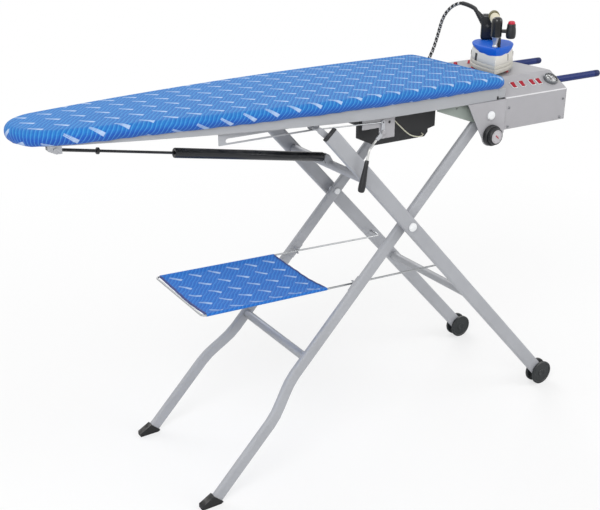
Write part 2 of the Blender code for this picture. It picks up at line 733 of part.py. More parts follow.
def make_b_frame():
    """Footed legs: two tubes that step outwards below the crossbar, with shelf rings and feet."""
    across = Vector((-math.sin(B_LEG_ANGLE), 0, math.cos(B_LEG_ANGLE)))
    top_reach = B_PIVOT_REACH + B_LEG_WIDTH * 0.5
    steps = 5
    half = B_LEG_WIDTH / 2 + FOOT_OVERHANG
    end = PIVOT - B_UP * (FOOT_REACH + GAP)
    upper, lower = end + across * half, end - across * half
    foot_outline = [(upper.x, upper.z), (lower.x, lower.z), (lower.x - FOOT_HEEL, 0),
                    (upper.x - FOOT_TOE, 0), (upper.x - FOOT_TOE, FOOT_TOE_HEIGHT)]
    for label, side in SIDES.items():
        path = [PIVOT + B_UP * top_reach + Vector((0, side * B_LEG_Y, 0))]
        for i in range(steps + 1):
            share = i / steps
            ease = share * share * (3 - 2 * share)
            reach = JOGGLE_START + JOGGLE_LENGTH * share
            y = B_LEG_Y + (FOOT_Y - B_LEG_Y) * ease
            path.append(PIVOT - B_UP * reach + Vector((0, side * y, 0)))
        path.append(PIVOT - B_UP * FOOT_REACH + Vector((0, side * FOOT_Y, 0)))
        bm = bmesh.new()
        add_leg(bm, path, across, B_LEG_WIDTH)
        leg = piece("b_leg_" + label, bm, "silver_paint", frame_b, B_PIVOT)
        low, high = sorted((side * (B_LEG_Y - LEG_THICKNESS), side * (B_LEG_Y + LEG_THICKNESS)))
        holes = hole_cutter([(PIVOT, low, high), (B_PIVOT, low, high)], BOLT_RADIUS + GAP)
        combine(leg, holes, "DIFFERENCE")
        add_shelf_ring(leg, side, across)
        bm = bmesh.new()
        reach = LEG_THICKNESS / 2 + FOOT_OVERHANG
        add_prism(bm, foot_outline, side * FOOT_Y - reach, side * FOOT_Y + reach, "y")
        piece("b_foot_" + label, bm, "black_rubber", frame_b, B_PIVOT)

    inner = B_LEG_Y - LEG_THICKNESS / 2 - GAP
    bm = bmesh.new()
    add_pipe(bm, B_BAR + Vector((0, -inner, 0)), B_BAR + Vector((0, inner, 0)),
             CROSSBAR_RADIUS, CROSSBAR_WALL, ROUND_SIDES)
    piece("b_crossbar", bm, "silver_paint", frame_b, B_PIVOT)


def shelf_rod_height(x):
    """Return the height of the shelf's side rods over a place along the table."""
    return SHELF_SCREW.z + (SHELF_SCREW.x - x) * math.tan(SHELF_TILT)


def add_shelf_ring(leg, side, across):
    """Join a plate and an open ring to a footed leg; the shelf's side rod slides in the ring.

    The ring is open towards the cloth, so that it passes along the cloth's edge as the legs fold.
    """
    middle = PIVOT - B_UP * SHELF_BRACKET_REACH
    ring_z = shelf_rod_height(middle.x)
    half = SHELF_RING_WIDTH / 2
    face = B_LEG_Y - LEG_THICKNESS / 2
    corners = []
    for u, v in ((-1, -1), (1, -1), (1, 1), (-1, 1)):
        spot = middle + across * (u * SHELF_BRACKET_WIDTH / 2) + B_UP * (v * SHELF_BRACKET_HEIGHT / 2)
        corners.append((spot.x, spot.z))
    plate = bmesh.new()
    low, high = sorted((side * (face + LEG_WALL / 2), side * (face - SHELF_BRACKET_THICKNESS)))
    add_prism(plate, corners, low, high, "y")
    combine(leg, plate, "UNION")
    tab = bmesh.new()
    low, high = sorted((side * (face - SHELF_BRACKET_THICKNESS / 2), side * SHELF_ROD_Y))
    add_prism(tab, [(middle.x + u * half, ring_z + v * SHELF_RING_RADIUS * 0.7)
                    for u, v in ((-1, -1), (1, -1), (1, 1), (-1, 1))], low, high, "y")
    combine(leg, tab, "UNION")
    ring = bmesh.new()
    outline = disc_outline(side * SHELF_ROD_Y, ring_z, SHELF_RING_RADIUS)
    add_prism(ring, outline, middle.x - half * 0.9, middle.x + half * 0.9, "x")
    combine(leg, ring, "UNION")
    hole = bmesh.new()
    outline = disc_outline(side * SHELF_ROD_Y, ring_z, SHELF_RING_HOLE)
    add_prism(hole, outline, middle.x - half - OVERRUN, middle.x + half + OVERRUN, "x")
    combine(leg, hole, "DIFFERENCE")
    mouth = bmesh.new()
    ring_low, ring_high = ring_z - SHELF_RING_RADIUS - OVERRUN, ring_z + SHELF_RING_RADIUS + OVERRUN
    low, high = sorted((side * (SHELF_ROD_Y - SHELF_ROD_RADIUS + GAP),
                        side * (SHELF_ROD_Y - SHELF_RING_RADIUS - OVERRUN)))
    add_prism(mouth, [(middle.x + u * (half + OVERRUN), z)
                      for u, z in ((-1, ring_low), (1, ring_low), (1, ring_high), (-1, ring_high))],
              low, high, "y")
    combine(leg, mouth, "DIFFERENCE")


def capsule(start, end, radius, steps=6):
    """Return the outline of a flat link with round ends, from (x, z) points."""
    start, end = Vector(start), Vector(end)
    along = (end - start).normalized()
    heading = math.atan2(along.y, along.x)
    points = []
    for centre, first in ((end, heading - math.pi / 2), (start, heading + math.pi / 2)):
        for i in range(steps + 1):
            angle = first + math.pi * i / steps
            points.append((centre.x + radius * math.cos(angle), centre.y + radius * math.sin(angle)))
    return points


def flat(spot):
    """Return a place as its (x, z) point."""
    return (spot.x, spot.z)


def make_a_frame():
    """Wheeled legs with their bars, their wheels and the pins that slide under the board."""
    across = Vector((math.sin(A_LEG_ANGLE), 0, math.cos(A_LEG_ANGLE)))
    low_reach = WHEEL_REACH + AXLE_END
    face = A_LEG_Y - LEG_THICKNESS / 2
    arm_face = face - SLIDE_ARM_THICKNESS
    pin_stop = GUIDE_Y - GUIDE_THICKNESS / 2 - GUIDE_SLOT_GAP
    root = PIVOT + A_UP * (A_LEG_REACH - SLIDE_ARM_OVERLAP)
    for label, side in SIDES.items():
        shift = Vector((0, side * A_LEG_Y, 0))
        bm = bmesh.new()
        add_leg(bm, [PIVOT + A_UP * A_LEG_REACH + shift, PIVOT - A_UP * low_reach + shift],
                across, A_LEG_WIDTH)
        leg = piece("a_leg_" + label, bm, "silver_paint", frame_a, PIVOT)
        low, high = sorted((side * (A_LEG_Y - LEG_THICKNESS), side * (A_LEG_Y + LEG_THICKNESS)))
        combine(leg, hole_cutter([(PIVOT, low, high)], BOLT_RADIUS + GAP), "DIFFERENCE")
        combine(leg, hole_cutter([(WHEEL_CENTRE, low, high)], AXLE_RADIUS + GAP), "DIFFERENCE")
        arm = bmesh.new()
        low, high = sorted((side * (face + LEG_WALL / 2), side * arm_face))
        add_prism(arm, capsule(flat(root), flat(GUIDE), SLIDE_ARM_WIDTH / 2), low, high, "y")
        combine(leg, arm, "UNION")
        pin = bmesh.new()
        start = arm_face + SLIDE_ARM_THICKNESS / 2
        head = GUIDE_PIN_RADIUS * 1.8
        profile = [(0, 0), (GUIDE_PIN_RADIUS, 0), (GUIDE_PIN_RADIUS, start - pin_stop),
                   (head, start - pin_stop), (head, start - pin_stop + GUIDE_PIN_RADIUS),
                   (0, start - pin_stop + GUIDE_PIN_RADIUS)]
        add_lathe(pin, profile, GUIDE + Vector((0, side * start, 0)), (0, -side, 0), SMALL_SIDES)
        combine(leg, pin, "UNION")

        middle = WHEEL_CENTRE + shift
        disc_near = LEG_THICKNESS / 2 + WHEEL_HUB_RISE
        disc_far = disc_near + WHEEL_THICKNESS
        rim = WHEEL_RADIUS - WHEEL_ROUND
        half_profile = [(AXLE_RADIUS, disc_near), (rim, disc_near), (WHEEL_RADIUS, disc_near + WHEEL_ROUND),
                        (WHEEL_RADIUS, disc_far - WHEEL_ROUND), (rim, disc_far)]
        profile = [(0, -disc_far)] + [(r, -h) for r, h in reversed(half_profile)] + half_profile
        bm = bmesh.new()
        add_lathe(bm, profile + [(0, disc_far)], middle, (0, 1, 0), WHEEL_SIDES)
        piece("wheel_" + label, bm, "black_plastic", wheel_holders[label], middle)

    reach = Vector((0, face - GAP, 0))
    bm = bmesh.new()
    add_pipe(bm, A_LOWER_BAR - reach, A_LOWER_BAR + reach, CROSSBAR_RADIUS, CROSSBAR_WALL, ROUND_SIDES)
    piece("a_lower_crossbar", bm, "silver_paint", frame_a, PIVOT)
    bm = bmesh.new()
    add_pipe(bm, A_UPPER_BAR - reach, A_UPPER_BAR + reach, CROSSBAR_RADIUS, CROSSBAR_WALL, ROUND_SIDES)
    crossbar = piece("a_upper_crossbar", bm, "silver_paint", frame_a, PIVOT)
    ear_low = SPRING_EYE_WIDTH / 2 + RUN_GAP
    ears = bmesh.new()
    link = capsule(flat(SPRING_EYE), flat(A_UPPER_BAR), SPRING_EYE_RADIUS)
    for side in SIDES.values():
        low, high = sorted((side * ear_low, side * (ear_low + SPRING_EAR)))
        add_prism(ears, link, low, high, "y")
    combine(crossbar, ears, "UNION")
    pin = bmesh.new()
    add_headed_pin(pin, SPRING_EYE, ear_low + SPRING_EAR, SPRING_PIN_RADIUS, SPRING_PIN_RADIUS * 1.7)
    combine(crossbar, pin, "UNION")


def add_headed_pin(bm, middle, half, radius, head):
    """Add a pin along Y with a flat head at each end, half being the grip from its middle."""
    rise = radius * 0.6
    profile = [(0, 0), (head, 0), (head, rise), (radius, rise), (radius, rise + 2 * half),
               (head, rise + 2 * half), (head, 2 * rise + 2 * half), (0, 2 * rise + 2 * half)]
    add_lathe(bm, profile, middle - Vector((0, half + rise, 0)), (0, 1, 0), SMALL_SIDES)


def make_pivots():
    """Bolts through the crossed legs and through the plates under the board, with collars."""
    b_inner = B_LEG_Y - LEG_THICKNESS / 2 - GAP
    b_outer = B_LEG_Y + LEG_THICKNESS / 2 + GAP
    a_inner = A_LEG_Y - LEG_THICKNESS / 2 - GAP
    a_outer = A_LEG_Y + LEG_THICKNESS / 2 + GAP
    arm_inner = GUSSET_Y - ARM_THICKNESS / 2 - GAP
    arm_outer = GUSSET_Y + ARM_THICKNESS / 2 + GAP
    plate_inner = A_LEG_Y - BRACKET_THICKNESS / 2 - GAP
    plate_outer = A_LEG_Y + BRACKET_THICKNESS / 2 + GAP
    start = b_inner - NUT_HEIGHT
    bolts = (("cross_bolt_", PIVOT, ((b_outer, a_inner),), a_outer),
             ("board_bolt_", B_PIVOT, ((b_outer, arm_inner), (arm_outer, plate_inner)), plate_outer))
    for name, spot, collars, outer in bolts:
        profile = [(0, start), (NUT_RADIUS, start), (NUT_RADIUS, b_inner), (BOLT_RADIUS, b_inner)]
        for low, high in collars:
            profile += [(BOLT_RADIUS, low), (COLLAR_RADIUS, low), (COLLAR_RADIUS, high), (BOLT_RADIUS, high)]
        profile += [(BOLT_RADIUS, outer), (BOLT_HEAD_RADIUS, outer),
                    (BOLT_HEAD_RADIUS * 0.8, outer + BOLT_HEAD_RISE), (0, outer + BOLT_HEAD_RISE)]
        for label, side in SIDES.items():
            bm = bmesh.new()
            add_lathe(bm, profile, spot, (0, side, 0), SMALL_SIDES)
            piece(name + label, bm, "white_plastic", frame_b, B_PIVOT)


def add_lathe_ring(bm, profile, centre, axis, sides=ROUND_SIDES):
    """Spin a closed (radius, height) profile that stays off the axis."""
    direction = Vector(axis).normalized()
    side = square_to(direction)
    made = [bm.verts.new(Vector(centre) + direction * h + side * r) for r, h in profile]
    edges = [bm.edges.new((a, b)) for a, b in zip(made, made[1:] + made[:1])]
    bmesh.ops.spin(bm, geom=made + edges, cent=Vector(centre), axis=direction,
                   angle=math.tau, steps=sides, use_merge=True)


def make_guides():
    """Slotted plates under the board that the wheeled legs' top pins run along."""
    reach = GUIDE_PIN_RADIUS + GUIDE_SLOT_GAP
    left = GUIDE.x - FOLD_TRAVEL - reach - GUIDE_MARGIN
    right = GUIDE.x + reach + GUIDE_MARGIN
    outline = [(left, GUIDE_LOW_Z), (right, GUIDE_LOW_Z), (right, tray_bottom(right) - GAP),
               (left, tray_bottom(left) - GAP)]
    half = GUIDE_THICKNESS / 2
    for label, side in SIDES.items():
        bm = bmesh.new()
        middle = side * GUIDE_Y
        add_prism(bm, outline, middle - half, middle + half, "y")
        guide = piece("guide_plate_" + label, bm, "silver_paint", table)
        slot = bmesh.new()
        add_prism(slot, capsule((GUIDE.x - FOLD_TRAVEL, GUIDE.z), flat(GUIDE), reach),
                  middle - half - OVERRUN, middle + half + OVERRUN, "y")
        combine(guide, slot, "DIFFERENCE")


def make_fan():
    """Housing under the tray with the motor in it, and the impeller on the motor's shaft.

    Its far side is cut back, and lower down more than under the tray.
    """
    top = TRAY_TOP_Z - TRAY_DEPTH - GAP

    def right_side(inset, top_z):
        return [(FAN_RIGHT_X - FAN_RIM - inset * 0.4, FAN_LOW_Z + inset),
                (FAN_RIGHT_X - inset, FAN_LOW_Z + FAN_RIM + inset * 0.4),
                (FAN_RIGHT_X - inset, FAN_SPOUT_LOW_Z - FAN_RIM / 2 + inset),
                (FAN_SPOUT_X - inset, FAN_SPOUT_LOW_Z + inset), (FAN_SPOUT_X - inset, top_z)]

    def cut_x(y):
        return FAN_LEFT_X + FAN_CUT_SLOPE * (y - FAN_CUT_Y)
    bm = bmesh.new()
    add_prism(bm, [(FAN_LEFT_X, top), (FAN_LEFT_X, FAN_LOW_Z + FAN_CHAMFER_Z),
                   (FAN_LEFT_X + FAN_CHAMFER_X, FAN_LOW_Z)] + right_side(0, top),
              -FAN_HALF_WIDTH, FAN_HALF_WIDTH, "y")
    housing = piece("fan_housing", bm, "black_plastic", table)
    far = FAN_HALF_WIDTH + OVERRUN
    outside = cut_x(FAN_CUT_Y - OVERRUN)
    for end, high in ((FAN_CUT_HIGH_Y, top + OVERRUN), (FAN_CUT_LOW_Y, FAN_STEP_Z)):
        corner = bmesh.new()
        add_prism(corner, [(outside, FAN_CUT_Y - OVERRUN), (cut_x(end), end), (cut_x(end), far), (outside, far)],
                  FAN_LOW_Z - OVERRUN, high, "z")
        combine(housing, corner, "DIFFERENCE")

    inner = FAN_HALF_WIDTH - FAN_WALL
    back = FAN_WALL * (1 - math.hypot(1, FAN_CUT_SLOPE)) / FAN_CUT_SLOPE
    for left, end, low, high in (
            (FAN_LEFT_X + FAN_WALL, FAN_CUT_HIGH_Y, FAN_STEP_Z + FAN_WALL, top + OVERRUN),
            (FAN_LEFT_X + FAN_CHAMFER_X + FAN_WALL, FAN_CUT_LOW_Y, FAN_LOW_Z + FAN_WALL,
             FAN_STEP_Z + FAN_WALL + OVERRUN)):
        inside = bmesh.new()
        turn = FAN_CUT_Y + (left - FAN_WALL - FAN_LEFT_X) / FAN_CUT_SLOPE + back
        add_prism(inside, [(left, -inner), (FAN_SEAM_X, -inner), (FAN_SEAM_X, inner),
                           (cut_x(end) + FAN_WALL, inner), (cut_x(end) + FAN_WALL, end + back), (left, turn)],
                  low, high, "z")
        combine(housing, inside, "DIFFERENCE")
    inside = bmesh.new()
    seam = FAN_SEAM_X - OVERRUN
    add_prism(inside, [(seam, top + OVERRUN), (seam, FAN_LOW_Z + FAN_WALL)] + right_side(FAN_WALL, top + OVERRUN),
              -inner, inner, "y")
    combine(housing, inside, "DIFFERENCE")

    middle = FAN_MIDDLE_X
    base = FAN_LOW_Z + FAN_WALL / 2
    motor = bmesh.new()
    profile = [(0, 0), (MOTOR_RADIUS, 0), (MOTOR_RADIUS, MOTOR_HEIGHT), (MOTOR_SHAFT_RADIUS, MOTOR_HEIGHT),
               (MOTOR_SHAFT_RADIUS, MOTOR_HEIGHT + MOTOR_SHAFT_HEIGHT),
               (0, MOTOR_HEIGHT + MOTOR_SHAFT_HEIGHT)]
    add_lathe(motor, profile, (middle, 0, base), (0, 0, 1))
    combine(housing, motor, "UNION")
    hub = Vector((middle, 0, base + MOTOR_HEIGHT + RUN_GAP))
    bm = bmesh.new()
    bore = MOTOR_SHAFT_RADIUS + GAP
    profile = [(bore, 0), (IMPELLER_RADIUS, 0), (IMPELLER_RADIUS, IMPELLER_DISC),
               (IMPELLER_HUB_RADIUS, IMPELLER_DISC),
               (IMPELLER_HUB_RADIUS, IMPELLER_DISC + IMPELLER_BLADE_HEIGHT),
               (bore, IMPELLER_DISC + IMPELLER_BLADE_HEIGHT)]
    add_lathe_ring(bm, profile, hub, (0, 0, 1))
    impeller = piece("impeller", bm, "black_plastic", fan_rotor, hub)
    blades = bmesh.new()
    start = IMPELLER_HUB_RADIUS * 1.4
    for i in range(IMPELLER_BLADES):
        turn = Matrix.Rotation(math.tau * i / IMPELLER_BLADES, 3, "Z")
        half = IMPELLER_BLADE_THICKNESS / 2
        corners = [turn @ Vector((x, y, 0)) for x, y in
                   ((start, -half), (IMPELLER_RADIUS * 0.97, -half), (IMPELLER_RADIUS * 0.97, half),
                    (start, half))]
        add_prism(blades, [(hub.x + c.x, c.y) for c in corners], hub.z + IMPELLER_DISC / 2,
                  hub.z + IMPELLER_DISC + IMPELLER_BLADE_HEIGHT * 0.9, "z")
    combine(impeller, blades, "UNION")


def make_brackets():
    """Plates that hold the generator, the knob and the pivot of the footed legs."""
    top = TRAY_TOP_Z - TRAY_DEPTH - GAP
    lobe = KNOB_RADIUS + OVERRUN / 2
    start = math.radians(190)
    stop = math.radians(350)
    steps = 8
    turns = [start + (stop - start) * i / steps for i in range(steps + 1)]
    low_edge = [(KNOB_X + lobe * math.cos(turn), KNOB_Z + lobe * math.sin(turn)) for turn in turns]
    outline = [(BRACKET_LEFT_X, top)] + low_edge + [(BRACKET_RIGHT_X, KNOB_Z), (BRACKET_RIGHT_X, top)]
    arm = [(ARM_LEFT_X, top), (ARM_LEFT_X, top - ARM_NOSE), (ARM_BEND_X, ARM_BEND_Z),
           (BRACKET_RIGHT_X, ARM_LOW_Z), (BRACKET_RIGHT_X, top)]
    plate_half = BRACKET_THICKNESS / 2
    arm_half = ARM_THICKNESS / 2
    bore = COIL_RADIUS - COIL_STEP * COIL_TURNS / COIL_LAYERS - HOSE_RADIUS
    peg_z = COIL_Z + bore - HOOK_RADIUS - GAP
    for label, side in SIDES.items():
        bm = bmesh.new()
        add_prism(bm, outline, side * A_LEG_Y - plate_half, side * A_LEG_Y + plate_half, "y")
        bracket = piece("board_bracket_" + label, bm, "grey_sheet", table)
        gusset = bmesh.new()
        add_prism(gusset, arm, side * GUSSET_Y - arm_half, side * GUSSET_Y + arm_half, "y")
        combine(bracket, gusset, "UNION")
        flange = bmesh.new()
        low, high = sorted((side * GUSSET_Y, side * A_LEG_Y))
        add_prism(flange, [(BRACKET_LEFT_X + OVERRUN, low), (BRACKET_RIGHT_X - OVERRUN, low),
                           (BRACKET_RIGHT_X - OVERRUN, high), (BRACKET_LEFT_X + OVERRUN, high)],
                  top - BRACKET_THICKNESS, top - BRACKET_THICKNESS * 0.1, "z")
        combine(bracket, flange, "UNION")
        low, high = sorted((side * (GUSSET_Y - OVERRUN), side * (A_LEG_Y + OVERRUN)))
        combine(bracket, hole_cutter([(B_PIVOT, low, high)], BOLT_RADIUS + GAP), "DIFFERENCE")
        low, high = sorted((side * (GUSSET_Y - OVERRUN), side * (GUSSET_Y + OVERRUN)))
        hole = Vector((ARM_HOLE_X, 0, top - COLLAR_RADIUS))
        combine(bracket, hole_cutter([(hole, low, high)], BOLT_RADIUS / 2), "DIFFERENCE")
        if side > 0:
            peg = bmesh.new()
            reach = HOOK_END_Y - A_LEG_Y
            profile = [(0, 0), (HOOK_RADIUS, 0), (HOOK_RADIUS, reach - HOOK_END_THICKNESS),
                       (HOOK_END_RADIUS, reach - HOOK_END_THICKNESS), (HOOK_END_RADIUS, reach), (0, reach)]
            add_lathe(peg, profile, (COIL_X, A_LEG_Y, peg_z), (0, 1, 0), SMALL_SIDES)
            combine(bracket, peg, "UNION")


def generator_outline(inset):
    """Return the generator's (y, z) outline from the near bottom edge over the top."""
    tilt = math.atan2(SLOPE_RISE, SLOPE_RUN)
    side = GEN_HALF_WIDTH - inset
    top = GEN_TOP_Z - inset
    shoulder = GEN_SHOULDER_Z + inset * math.tan(tilt) - inset / math.cos(tilt)
    corner = GEN_FLAT_HALF_WIDTH - inset * (1 / math.sin(tilt) - 1 / math.tan(tilt))
    return [(-side, GEN_LOW_Z), (-side, shoulder), (-corner, top), (corner, top), (side, shoulder),
            (side, GEN_LOW_Z)]


def make_generator():
    """Sheet cover, end plates and base around the boiler, with studs, handles and fittings."""
    left = GEN_FRONT_X + GEN_WALL + GAP
    right = GEN_REAR_X - GEN_WALL - GAP
    bm = bmesh.new()
    add_prism(bm, generator_outline(0) + generator_outline(GEN_WALL)[::-1], left, right, "x")
    cover = piece("generator_cover", bm, "grey_sheet", table)
    studs = bmesh.new()
    for i in range(STUD_COLUMNS):
        for j in range(STUD_ROWS):
            spot = Vector((STUD_FIRST_X + i * STUD_PITCH_X, (j - (STUD_ROWS - 1) / 2) * STUD_PITCH_Y,
                           GEN_TOP_Z - GEN_WALL / 2))
            height = STUD_HEIGHT + GEN_WALL / 2
            profile = [(0, 0), (STUD_RADIUS, 0), (STUD_RADIUS, height - STUD_RADIUS / 2),
                       (STUD_RADIUS * 0.7, height), (0, height)]
            add_lathe(studs, profile, spot, (0, 0, 1), 8)
    combine(cover, studs, "UNION")
    bm = bmesh.new()
    add_prism(bm, generator_outline(0), GEN_FRONT_X, GEN_FRONT_X + GEN_WALL, "x")
    tray = piece("generator_tray", bm, "grey_sheet", table)
    rear = bmesh.new()
    add_prism(rear, generator_outline(0), GEN_REAR_X - GEN_WALL, GEN_REAR_X, "x")
    inner = GEN_HALF_WIDTH - GEN_WALL - GAP
    start, stop = GEN_FRONT_X + GEN_WALL / 2, GEN_REAR_X - GEN_WALL / 2
    base = bmesh.new()
    add_prism(base, [(start, -inner), (stop, -inner), (stop, inner), (start, inner)],
              GEN_LOW_Z + GEN_WALL, GEN_LOW_Z + 2 * GEN_WALL, "z")
    combine(tray, base, "UNION")
    combine(tray, rear, "UNION")

    centre = Vector(((GEN_FRONT_X + GEN_REAR_X - BOILER_LENGTH) / 2, BOILER_Y,
                     GEN_LOW_Z + 2 * GEN_WALL + GAP + BOILER_RADIUS))
    neck_end = BOILER_LENGTH + BOILER_DOME
    profile = [(0, 0), (BOILER_RADIUS, 0), (BOILER_RADIUS, BOILER_LENGTH),
               (BOILER_NECK_RADIUS, BOILER_LENGTH), (BOILER_NECK_RADIUS, neck_end),
               (BOILER_NECK_RADIUS - BOILER_WALL, neck_end),
               (BOILER_NECK_RADIUS - BOILER_WALL, BOILER_LENGTH - BOILER_WALL),
               (BOILER_RADIUS - BOILER_WALL, BOILER_LENGTH - BOILER_WALL),
               (BOILER_RADIUS - BOILER_WALL, BOILER_WALL), (0, BOILER_WALL)]
    bm = bmesh.new()
    add_lathe(bm, profile, centre, (1, 0, 0))
    piece("boiler", bm, "steel", table)

    for label, side in SIDES.items():
        start = Vector((GEN_REAR_X + GAP, side * HANDLE_Y, HANDLE_Z))
        length = HANDLE_LENGTH - GAP
        bore = HANDLE_RADIUS - HANDLE_WALL
        profile = [(bore, 0), (HANDLE_RADIUS, 0), (HANDLE_RADIUS, length), (0, length),
                   (0, length - CAP_DEPTH), (bore, length - CAP_DEPTH), (bore, 0)]
        bm = bmesh.new()
        add_lathe(bm, profile, start, (1, 0, 0))
        piece("handle_" + label, bm, "blue_tube", table)

    spot = Vector((GEN_REAR_X + GAP, 0, GEN_LOW_Z + INLET_RISE))
    bm = bmesh.new()
    half_y, half_z = INLET_WIDTH / 2, INLET_HEIGHT / 2
    add_prism(bm, [(spot.y - half_y, spot.z - half_z), (spot.y + half_y, spot.z - half_z),
                   (spot.y + half_y, spot.z + half_z), (spot.y - half_y, spot.z + half_z)],
              spot.x, spot.x + INLET_DEPTH, "x")
    inlet = piece("mains_inlet", bm, "black_plastic", table)
    share = 0.7
    pocket = bmesh.new()
    add_prism(pocket, [(-half_y * share, spot.z - half_z * share), (half_y * share, spot.z - half_z * share),
                       (half_y * share, spot.z + half_z * share),
                       (-half_y * share, spot.z + half_z * share)],
              spot.x + INLET_DEPTH * 0.2, spot.x + INLET_DEPTH + OVERRUN, "x")
    combine(inlet, pocket, "DIFFERENCE")


def slope_place(x, share, rise):
    """Return a place on the generator's near slope, share of the way up and rise above it."""
    foot = Vector((x, -GEN_HALF_WIDTH, GEN_SHOULDER_Z))
    return foot + SLOPE_UP * (share * math.hypot(SLOPE_RUN, SLOPE_RISE)) + SLOPE_NORMAL * rise


def slope_solid(bm, middle, outline, width):
    """Extrude a (up the slope, off the slope) outline along X, centred on middle."""
    rings = []
    for x in (-width / 2, width / 2):
        rings.append([bm.verts.new(middle + Vector((x, 0, 0)) + SLOPE_UP * u + SLOPE_NORMAL * v)
                      for u, v in outline])
    count = len(outline)
    for i in range(count):
        j = (i + 1) % count
        bm.faces.new((rings[0][i], rings[0][j], rings[1][j], rings[1][i]))
    bm.faces.new(rings[0])
    bm.faces.new(rings[1])


def make_controls():
    """Rocker switches, the pressure gauge with its needle, and the thermostat knob."""
    length = GEN_REAR_X - GEN_FRONT_X
    half = SWITCH_LENGTH / 2
    tilt = math.tan(SWITCH_TRAVEL / 2)
    for index, share in enumerate(SWITCH_SHARES):
        x = GEN_FRONT_X + length * share
        pivot = slope_place(x, SWITCH_SLOPE_SHARE, GAP)
        holder = empty("rocker_holder_%d" % (index + 1), table, pivot)
        outline = []
        for u, v in ((0, 0), (half, half * tilt), (half, SWITCH_RISE), (0, SWITCH_RISE * 0.8),
                     (-half, SWITCH_RISE), (-half, half * tilt)):
            turn = SWITCH_TRAVEL / 2
            outline.append((u * math.cos(turn) - v * math.sin(turn), u * math.sin(turn) + v * math.cos(turn)))
        bm = bmesh.new()
        slope_solid(bm, pivot, outline, SWITCH_WIDTH)
        piece("rocker_%d" % (index + 1), bm, "red_silicone", holder, pivot)
    share = SWITCH_SLOPE_SHARE
    foot = slope_place(GEN_FRONT_X + length * GAUGE_SHARE, share, GAP)
    bm = bmesh.new()
    inner = GAUGE_RADIUS - GAUGE_WALL
    profile = [(0, 0), (GAUGE_RADIUS, 0), (GAUGE_RADIUS, GAUGE_RISE), (inner, GAUGE_RISE),
               (inner, GAUGE_WALL), (0, GAUGE_WALL)]
    add_lathe(bm, profile, foot, SLOPE_NORMAL)
    piece("gauge_body", bm, "black_plastic", table)
    hub = foot + SLOPE_NORMAL * (GAUGE_WALL + GAP)
    bm = bmesh.new()
    profile = [(0, 0), (GAUGE_HUB_RADIUS, 0), (GAUGE_HUB_RADIUS, GAUGE_HUB_RADIUS), (0, GAUGE_HUB_RADIUS)]
    add_lathe(bm, profile, hub, SLOPE_NORMAL, 8)
    needle = piece("gauge_needle", bm, "black_plastic", empty("needle_holder", table, hub), hub)
    blade = bmesh.new()
    low = GAUGE_HUB_RADIUS * 0.4
    slope_solid(blade, hub, [(-GAUGE_HUB_RADIUS * 1.6, low), (GAUGE_NEEDLE_LENGTH, low),
                             (GAUGE_NEEDLE_LENGTH, low + GAUGE_NEEDLE_THICKNESS),
                             (-GAUGE_HUB_RADIUS * 1.6, low + GAUGE_NEEDLE_THICKNESS)], GAUGE_NEEDLE_WIDTH)
    combine(needle, blade, "UNION")
    start = Vector((KNOB_X, -(A_LEG_Y + BRACKET_THICKNESS / 2 + GAP), KNOB_Z))
    bm = bmesh.new()
    profile = [(0, 0), (KNOB_RADIUS, 0), (KNOB_RADIUS, KNOB_SKIRT), (KNOB_FACE_RADIUS, KNOB_SKIRT),
               (KNOB_FACE_RADIUS, KNOB_DEPTH), (0, KNOB_DEPTH)]
    add_lathe(bm, profile, start, (0, -1, 0))
    piece("control_knob", bm, "black_plastic", empty("knob_holder", table, start), start)


def smooth_route(points, spacing):
    """Return evenly spaced places on a smooth curve through the route's points."""
    fine = []
    padded = [points[0] * 2 - points[1]] + points + [points[-1] * 2 - points[-2]]
    steps = 12
    for a, b, c, d in zip(padded, padded[1:], padded[2:], padded[3:]):
        for i in range(steps):
            t = i / steps
            fine.append(0.5 * (2 * b + (c - a) * t + (2 * a - 5 * b + 4 * c - d) * t ** 2
                               + (3 * b - a - 3 * c + d) * t ** 3))
    fine.append(points[-1])
    total = sum((q - p).length for p, q in zip(fine, fine[1:]))
    count = max(int(round(total / spacing)), 2)
    places, walked, target = [fine[0]], 0.0, total / count
    for p, q in zip(fine, fine[1:]):
        step = (q - p).length
        while walked + step >= target - 1e-9 and len(places) < count:
            places.append(p.lerp(q, (target - walked) / step))
            target += total / count
        walked += step
    return places + [fine[-1]]


def tube(name, places, radius, material, parent, origin=(0, 0, 0), resolution=2):
    """Make a round tube with filled ends along places, as a curve object."""
    curve = bpy.data.curves.new(name, "CURVE")
    curve.dimensions = "3D"
    curve.bevel_depth = radius
    curve.bevel_resolution = resolution
    curve.use_fill_caps = True
    spline = curve.splines.new("POLY")
    spline.points.add(len(places) - 1)
    for point, place in zip(spline.points, places):
        point.co = (*(Vector(place) - Vector(origin)), 1)
    curve.materials.append(finish(material))
    obj = bpy.data.objects.new(name, curve)
    bpy.context.collection.objects.link(obj)
    obj.parent = parent
    obj.location = Vector(origin) - offset_in_table(parent)
    return obj


def rounded_path(corners, radius, steps=5):
    """Return a path through corners whose inner ones are rounded off with arcs."""
    path = [corners[0]]
    for before, corner, after in zip(corners, corners[1:], corners[2:]):
        into = (corner - before).normalized()
        out = (after - corner).normalized()
        turn = into.angle(out)
        cut_back = radius * math.tan(turn / 2)
        start = corner - into * cut_back
        stop = corner + out * cut_back
        centre = corner + (out - into).normalized() * (radius / math.cos(turn / 2))
        for i in range(steps + 1):
            way = (start - centre).normalized().slerp((stop - centre).normalized(), i / steps)
            path.append(centre + way * radius)
    return path + [corners[-1]]


